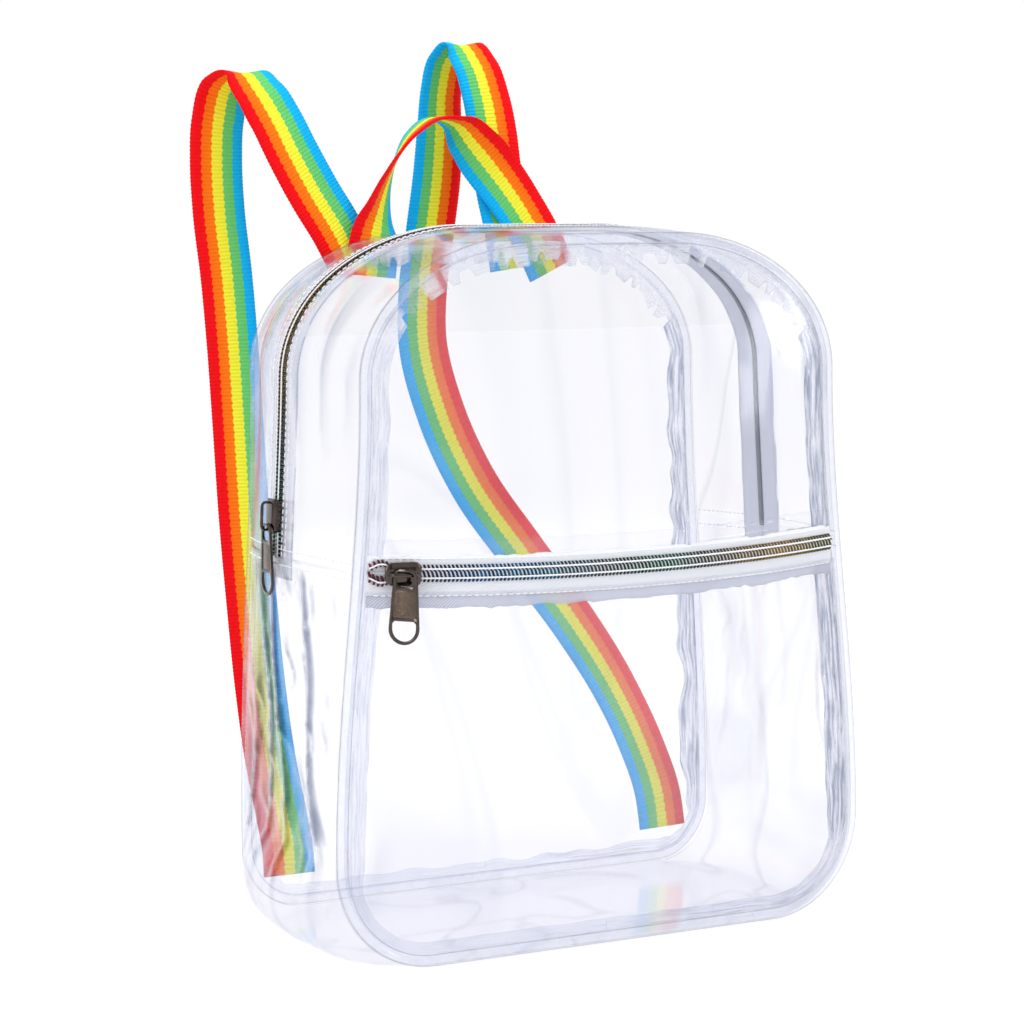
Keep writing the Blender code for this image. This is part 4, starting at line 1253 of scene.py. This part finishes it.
def makeSlider(name, matrix, node):
    tall = slider["plate"] + slider["railDrop"]
    body = startCube(
        name, (slider["length"], slider["width"], tall), (0, 0, tall / 2 - slider["railDrop"])
    )
    pick(body, "verts", lambda v: v.co.x < 0)
    bpy.ops.transform.resize(
        value=(1, slider["tailWidth"] / slider["width"], 1), center_override=(0, 0, 0)
    )
    pick(body, "edges", lambda e: abs(e.verts[0].co.z - e.verts[1].co.z) > tall / 2)
    bpy.ops.mesh.bevel(offset=slider["corner"], segments=6, affect="EDGES")
    top = slider["plate"] - 0.01 * mm
    pick(body, "faces", lambda f: f.normal.z > 0.9 and f.calc_center_median().z > top)
    bpy.ops.mesh.inset(thickness=slider["domeRim"])
    bpy.ops.transform.translate(value=(0, 0, slider["dome"]))
    bpy.ops.mesh.inset(thickness=slider["domeSide"])
    bpy.ops.transform.translate(value=(0, 0, slider["dome"] * 0.4))
    bpy.ops.object.mode_set(mode="OBJECT")
    channel = startCube(
        "channelCutter",
        (2 * slider["length"], slider["channel"], 2 * slider["railDrop"]),
        (0, 0, -slider["railDrop"]),
    )
    bpy.ops.object.mode_set(mode="OBJECT")
    applyModifier(body, "BOOLEAN", operation="DIFFERENCE", object=channel, solver="EXACT")
    bpy.data.objects.remove(channel)
    applyModifier(
        body, "BEVEL", width=0.25 * mm, segments=2, limit_method="ANGLE",
        angle_limit=math.radians(40),
    )
    middle = slider["crownOpening"] / 2 + slider["crownBar"] / 2
    crownTop = slider["plate"] + slider["crownClear"] + slider["crownBar"] / 2
    foot = slider["plate"] / 2
    path = roundedRun(
        ((-middle, 0, foot), (-middle, 0, crownTop), (middle, 0, crownTop), (middle, 0, foot)),
        slider["crownRound"],
    )
    curve = bpy.data.curves.new(name + "Crown", "CURVE")
    curve.dimensions = "3D"
    curve.bevel_depth = slider["crownBar"] / 2
    curve.bevel_resolution = 3
    curve.use_fill_caps = True
    spline = curve.splines.new("POLY")
    spline.points.add(len(path) - 1)
    for point, place in zip(spline.points, path):
        point.co = (*place, 1)
        # The crown is fuller over the middle
        point.radius = 1.0 if abs(place.x) > middle * 0.75 else 1.12
    crown = bpy.data.objects.new(name + "Crown", curve)
    bpy.context.scene.collection.objects.link(crown)
    only(crown)
    bpy.ops.object.convert(target="MESH")
    crown.data.transform(Matrix.Diagonal((1, slider["crownWidth"] / slider["crownBar"], 1, 1)))
    joinTo(body, crown, matrix, 35)
    finishPiece(body, gunmetal, stands=(node,))


pull = {
    "thick": 1.2 * mm,
    "topWidth": 9.9 * mm,
    "lowWidth": 13 * mm,
    "length": 31 * mm,
    "bar": 1.2 * mm,
    "eyeLength": 6 * mm,
    "eyeClear": 1.3 * mm,
    "holeLength": 8.5 * mm,
    "bevel": 0.30 * mm,
    "panelThick": 0.7 * mm,
    "eyeRound": 2.2 * mm,
    "rim": 1.25 * mm,
    "corner": 2.5 * mm,
    "barAbove": 1.6 * mm,
    "barBelow": 1.5 * mm,
    "plateTuck": 0.5 * mm,
}


def lowerArc(radius, centre):
    turns = spread(0, math.pi, 14)
    return [(radius * math.cos(a), centre - radius * math.sin(a)) for a in turns]


def roundedLoop(corners, radius):
    corners = [Vector(corner) for corner in corners]
    points = []
    for i, corner in enumerate(corners):
        before, after = corners[i - 1], corners[(i + 1) % len(corners)]
        reach = min(radius, (before - corner).length / 2.01, (after - corner).length / 2.01)
        points += [(p.x, p.y) for p in roundCorner(before, corner, after, reach)]
    return points


def flatPlate(name, loops, thick, bevel):
    curve = bpy.data.curves.new(name, "CURVE")
    curve.dimensions = "2D"
    curve.fill_mode = "BOTH"
    curve.extrude = thick / 2 - bevel
    curve.bevel_depth = bevel
    curve.bevel_resolution = 1
    curve.offset = -bevel
    for loop in loops:
        spline = curve.splines.new("POLY")
        spline.points.add(len(loop) - 1)
        for point, (x, y) in zip(spline.points, loop):
            point.co = (x, y, 0, 1)
        spline.use_cyclic_u = True
    obj = bpy.data.objects.new(name, curve)
    bpy.context.scene.collection.objects.link(obj)
    only(obj)
    bpy.ops.object.convert(target="MESH")
    bpy.ops.object.mode_set(mode="EDIT")
    bpy.ops.mesh.select_all(action="SELECT")
    bpy.ops.mesh.remove_doubles(threshold=0.005 * mm)
    bpy.ops.mesh.normals_make_consistent(inside=False)
    bpy.ops.object.mode_set(mode="OBJECT")
    return obj


def makePull(name, matrix, node, body):
    # Drop-shaped frame with a D-shaped eye, a sunk plate and an open lower end
    top = pull["eyeClear"] + pull["bar"]
    low = top - pull["length"]
    wide, lowWide = pull["topWidth"] / 2, pull["lowWidth"] / 2
    centre = low + lowWide
    holeTop = low + pull["bar"] + pull["holeLength"]
    eyeLow = pull["eyeClear"] - pull["eyeLength"]
    holeWide = lowWide - pull["bar"] - 0.3 * mm
    hole = lowerArc(holeWide, centre)
    hole += [(-holeWide, holeTop - mm), (-holeWide + mm, holeTop)]
    hole += [(holeWide - mm, holeTop), (holeWide, holeTop - mm)]
    corner, cut, swell = pull["corner"], 0.7 * mm, 0.1 * mm
    outer = lowerArc(lowWide, centre)
    outer += [(-wide - swell, top - corner), (-wide + cut, top - cut), (-wide + corner, top)]
    outer += [(wide - corner, top), (wide - cut, top - cut), (wide + swell, top - corner)]
    eyeWide = wide - pull["bar"] - 0.1 * mm
    eyeTop = pull["eyeClear"]
    eye = roundedLoop(
        ((-eyeWide, eyeTop), (eyeWide, eyeTop), (eyeWide, eyeLow), (-eyeWide, eyeLow)),
        pull["eyeRound"],
    )
    panelTop = eyeLow - pull["barAbove"]
    panelLow = holeTop + pull["barBelow"]

    def sideAt(up):
        share = (up - centre) / (top - centre)
        return lowWide + (wide - lowWide) * share - pull["rim"]

    high, foot = sideAt(panelTop), sideAt(panelLow)
    panel = roundedLoop(
        ((-high, panelTop), (high, panelTop), (foot, panelLow), (-foot, panelLow)), mm
    )
    obj = flatPlate(name, [outer, eye, hole, panel], pull["thick"], pull["bevel"])
    grow = pull["plateTuck"]
    middle = (panelTop + panelLow) / 2
    sunkLoop = [(x * (1 + grow / sideAt(y)), y + (grow if y > middle else -grow)) for x, y in panel]
    plate = flatPlate(name + "Plate", [sunkLoop], pull["panelThick"], 0.05 * mm)
    joinTo(obj, plate, matrix, 30)
    finishPiece(obj, gunmetal, body=body, stands=(node,))
    obj.data.materials.append(tumbledGunmetal)
    back = matrix.inverted()
    for face in obj.data.polygons:
        sunk = abs((back @ face.center).z) < pull["panelThick"] * 0.52
        if sunk and abs((back.to_3x3() @ face.normal).z) > 0.9:
            face.material_index = 1


def makeHardware():
    lift = slider["standOff"] + bag["gap"]
    mainRun = -runAtHeight(zips["mainSliderHeight"])
    mainMatrix = gussetFrame(mainRun, zipMiddle, lift - bag["sheet"])
    pocketShare = zips["pocketSlider"] / pocketHalf
    pocketMatrix = pocketFrame(pocketShare, 0, tapeLayer - bag["gap"] - lift)
    makeSlider("mainZipSlider", mainMatrix, "main_zip_slider")
    makeSlider("pocketZipSlider", pocketMatrix, "pocket_zip_slider")
    rest = -slider["crownOpening"] / 2 + bag["gap"] + pull["bar"]
    axis = mainMatrix @ Vector((rest, 0, slider["plate"] + slider["crownClear"] / 2))
    upright = Matrix.Rotation(-math.pi / 2, 4, "Z") @ Matrix.Rotation(math.pi / 2, 4, "X")
    shift = Matrix.Translation((0, -pull["eyeClear"] - pull["bar"] / 2, 0))
    mainPlace = Matrix.Translation(axis) @ upright @ shift
    makePull("mainZipPull", mainPlace, "main_zip_pull", "main_pull")
    bar = pocketMatrix.to_3x3().col[0]
    up = (Vector((0, 0, 1)) - bar * bar.z).normalized()
    high = slider["plate"] + slider["crownClear"] + slider["crownBar"] / 2
    hanging = frameMatrix(pocketMatrix @ Vector((0, 0, high)), bar, up.cross(bar), up)
    turn = Matrix.Rotation(math.radians(-28), 4, "Z") @ Matrix.Rotation(math.pi / 2, 4, "X")
    makePull("pocketZipPull", hanging @ turn, "pocket_zip_pull", "pocket_pull")


makeHardware()
print("sliders and pulls made")

webbing = {
    "width": 25 * mm,
    "thick": 1.45 * mm,
    "step": 0.85 * mm,
    "columns": 12,
    "rib": 0.055 * mm,
    "selvedge": 0.22 * mm,
    "reach": 40 * mm,
    "room": 1.6 * mm,
}
# across, out, up, turn
leftStrapRows = (
    (-0.450, 0.090, 0.944, 180), (-0.490, 0.094, 0.974, 180), (-0.533, 0.100, 1.007, 180),
    (-0.606, 0.112, 1.055, 180), (-0.688, 0.130, 1.116, 180), (-0.751, 0.175, 1.170, 181),
    (-0.802, 0.245, 1.208, 184), (-0.838, 0.400, 1.233, 188), (-0.876, 0.590, 1.219, 185),
    (-0.903, 0.700, 1.166, 180), (-0.903, 0.775, 1.112, 180), (-0.888, 0.850, 1.035, 180),
    (-0.855, 0.925, 0.939, 180), (-0.829, 0.975, 0.824, 180), (-0.813, 1.000, 0.721, 180),
    (-0.796, 0.990, 0.570, 180), (-0.780, 0.930, 0.440, 180), (-0.770, 0.800, 0.320, 180),
    (-0.764, 0.560, 0.210, 180), (-0.762, 0.250, 0.130, 180), (-0.762, 0.080, 0.085, 180),
    (-0.762, 0.040, 0.045, 180),
)
rightStrapRows = (
    (0.172, 0.083, 0.944, 0), (0.160, 0.085, 0.980, 0), (0.148, 0.105, 1.013, 0),
    (0.132, 0.160, 1.057, 0), (0.123, 0.215, 1.105, 0), (0.116, 0.265, 1.152, 0),
    (0.098, 0.320, 1.206, 4), (0.066, 0.400, 1.255, 8), (0.032, 0.530, 1.281, 12),
    (0.004, 0.670, 1.263, 15), (-0.019, 0.750, 1.214, 16), (-0.023, 0.775, 1.168, 11),
    (-0.028, 0.825, 1.091, 2), (-0.047, 0.900, 1.006, 0), (-0.071, 0.960, 0.918, 0),
    (-0.070, 1.000, 0.830, 0), (0.000, 1.030, 0.725, 0), (0.140, 1.040, 0.605, 0),
    (0.340, 1.000, 0.490, 0), (0.530, 0.880, 0.380, 0), (0.670, 0.660, 0.275, 0),
    (0.745, 0.360, 0.180, 0), (0.775, 0.120, 0.105, 0), (0.782, 0.040, 0.050, 0),
)
handleRows = (
    (-0.411, 0.032, 0.936, 180), (-0.402, 0.032, 0.968, 180), (-0.388, 0.050, 1.000, 192),
    (-0.370, 0.085, 1.026, 214), (-0.332, 0.125, 1.072, 234), (-0.288, 0.138, 1.110, 247),
    (-0.221, 0.143, 1.148, 261), (-0.134, 0.138, 1.170, 272), (-0.055, 0.115, 1.163, 290),
    (0.010, 0.080, 1.132, 317), (0.078, 0.050, 1.096, 345), (0.172, 0.036, 1.045, 359),
    (0.265, 0.032, 0.984, 360), (0.318, 0.032, 0.940, 360),
)


def carriedByBack(lowLift, highLift):
    def carrier(x, z):
        lift = lowLift if z < bag["seamHeight"] else highLift
        if z > bag["height"] - pipingCentre:
            return halfDepth + lift
        return max(halfDepth, backY(x, z)) + lift

    return carrier


def ribbonFrames(rows, carrier):
    # Centre, width direction, way along and length so far, at even steps along the webbing
    points = []
    for across, out, up, turn in rows:
        x, z = across * halfLow, up * bag["height"]
        points.append((x, max(halfDepth + out * webbing["reach"], carrier(x, z)), z, turn))
    table = np.array(points)
    steps = np.linalg.norm(np.diff(table[:, :3], axis=0), axis=1)
    along = np.concatenate(([0.0], np.cumsum(steps)))
    curve = rowsCurve(np.column_stack((along, table)), 3000)
    count = int(along[-1] / webbing["step"])
    places = spread(0, float(along[-1]), count)
    values = [curve(place) for place in places]
    centres = [Vector(v[:3]) for v in values]
    frames = []
    for i, centre in enumerate(centres):
        ahead = (centres[min(i + 1, count)] - centres[max(i - 1, 0)]).normalized()
        turn = math.radians(values[i][3])
        side = Vector((math.cos(turn), math.sin(turn), 0))
        side = (side - ahead * side.dot(ahead)).normalized()
        frames.append((centre, side, ahead, places[i]))
    return frames


def makeWebbing(name, rows, carrier, node):
    frames = ribbonFrames(rows, carrier)
    columns = webbing["columns"]
    half = webbing["width"] / 2
    points, uvs = [], []
    for i, (centre, side, ahead, along) in enumerate(frames):
        out = side.cross(ahead).normalized()
        for face in (1, -1):
            order = range(columns + 1) if face > 0 else range(columns, -1, -1)
            for k in order:
                share = 2 * k / columns - 1
                jag = webbing["selvedge"] * (i % 2) * (1 if k in (0, columns) else 0)
                thin = 0.45 if k in (0, columns) else 1.0
                rib = webbing["rib"] * (1 if i % 2 else -1)
                across = share * half - math.copysign(jag, share)
                up = face * (webbing["thick"] / 2 * thin + rib * thin)
                points.append(centre + side * across + out * up)
                uvs.append(((share + 1) / 2 * webbing["width"] / mm, along / mm))
    obj = loftRings(name, points, 2 * (columns + 1), uvs=uvs)
    finishPiece(obj, webbingCloth, stands=(node,))


firstLayer = bag["gap"] + webbing["room"] / 2
secondLayer = firstLayer + webbing["room"] + bag["gap"]
onPanel = carriedByBack(firstLayer, firstLayer)
onHandle = carriedByBack(firstLayer, secondLayer)
makeWebbing("grabHandleWebbing", handleRows, onPanel, "grab_handle")
makeWebbing("leftStrapWebbing", leftStrapRows, onHandle, "shoulder_strap_left")
makeWebbing("rightStrapWebbing", rightStrapRows, onHandle, "shoulder_strap_right")
print("webbing made")

for master in (upperTooth, lowerTooth, stitch):
    bpy.data.objects.remove(master)

studio = {
    "floor": 12.0,
    "floorColour": "#9A9A9C",
    "floorGlow": 0.722,
    "sky": 0.84,
    "cameraSky": 1.0,
    "cameraPlace": (-0.55027, -1.08785, 0.30965),
    "cameraTurn": -0.457884,
    "cameraPitch": 0.104976,
    "cameraRoll": -0.0087843,
    "lens": 96.92,
}


def makeStudio():
    bpy.ops.object.select_all(action="DESELECT")
    bpy.ops.mesh.primitive_plane_add(size=studio["floor"], location=(0, 0, 0))
    floor = bpy.context.object
    floor.name = "studioFloor"
    floor.data.transform(Matrix.Translation((0, 0, -0.2 * mm)))
    material, tree, _ = startMaterial("mattStudioPaper")
    paper = addNode(tree, "BsdfPrincipled", {
        "Base Color": studio["floorColour"], "Roughness": 0.9, "Emission Color": (1, 1, 1, 1),
        "Emission Strength": studio["floorGlow"],
    })
    addNode(tree, "OutputMaterial", {"Surface": paper})
    floor.data.materials.append(material)

    world = bpy.data.worlds.new("studioSky")
    bpy.context.scene.world = world
    world.use_nodes = True
    tree = world.node_tree
    tree.nodes.clear()
    way = addNode(tree, "TexCoord")
    # What the gloss mirrors: a bright room with a few darker uprights
    upright = addNode(tree, "Mapping", {"Vector": way.outputs["Generated"], "Scale": (1, 1, 0.35)})
    clutter = addNode(tree, "TexNoise", {
        "Vector": upright, "Scale": 2.6, "Detail": 2.0, "Roughness": 0.4,
    })
    room = addNode(tree, "ValToRGB", {"Fac": clutter}, stops=(
        (0.0, "#6A6F80"), (0.39, "#8B91A1"), (0.46, "#EEEFF5"), (1.0, "#FCFCFF"),
    ))
    kind = addNode(tree, "LightPath")
    paper = (1, 1, 1, 1)
    mirrored = addNode(tree, "Background", {"Color": room, "Strength": 1.0})
    soft = addNode(tree, "Background", {"Color": paper, "Strength": studio["sky"]})
    white = addNode(tree, "Background", {"Color": paper, "Strength": studio["cameraSky"]})
    lit = addNode(tree, "MixShader", {0: kind.outputs["Is Glossy Ray"], 1: soft, 2: mirrored})
    seen = addNode(tree, "MixShader", {0: kind.outputs["Is Camera Ray"], 1: lit, 2: white})
    addNode(tree, "OutputWorld", {"Surface": seen})

    for name, place, size, watts in (
        ("overheadSoftbox", (0.1, -0.2, 1.5), (1.0, 0.5), 8),
        ("leftSoftbox", (-1.35, -0.75, 0.75), (0.22, 1.2), 5),
        ("rightSoftbox", (1.2, -1.2, 0.8), (0.18, 1.2), 4),
        ("backSoftbox", (0.2, 1.3, 0.9), (1.0, 0.25), 4),
    ):
        light = bpy.data.lights.new(name, "AREA")
        light.shape = "RECTANGLE"
        light.size, light.size_y = size
        light.energy = watts
        lamp = bpy.data.objects.new(name, light)
        lamp.location = place
        # These two light the bag but would leave hard patches on its gloss
        lamp.visible_glossy = name not in ("overheadSoftbox", "backSoftbox")
        aim = Vector((0, 0, 0.16)) - Vector(place)
        lamp.rotation_euler = aim.to_track_quat("-Z", "Y").to_euler()
        bpy.context.scene.collection.objects.link(lamp)

    turn, pitch, roll = studio["cameraTurn"], studio["cameraPitch"], studio["cameraRoll"]
    ahead = Vector((
        -math.sin(turn) * math.cos(pitch), math.cos(turn) * math.cos(pitch), -math.sin(pitch),
    ))
    right = ahead.cross(Vector((0, 0, 1))).normalized()
    up = right.cross(ahead)
    rolledRight = right * math.cos(roll) + up * math.sin(roll)
    rolledUp = up * math.cos(roll) - right * math.sin(roll)
    camera = bpy.data.cameras.new("studioCamera")
    camera.lens = studio["lens"]
    camera.sensor_width = 36
    camera.clip_end = 50
    stand = bpy.data.objects.new("studioCamera", camera)
    stand.matrix_world = frameMatrix(Vector(studio["cameraPlace"]), rolledRight, rolledUp, -ahead)
    bpy.context.scene.collection.objects.link(stand)
    bpy.context.scene.camera = stand
    bpy.context.scene.view_settings.view_transform = "Standard"
    path = bpy.context.scene.cycles
    path.transparent_max_bounces = 40
    path.max_bounces = 6
    path.glossy_bounces = 2
    path.diffuse_bounces = 2


makeStudio()
print("studio made")
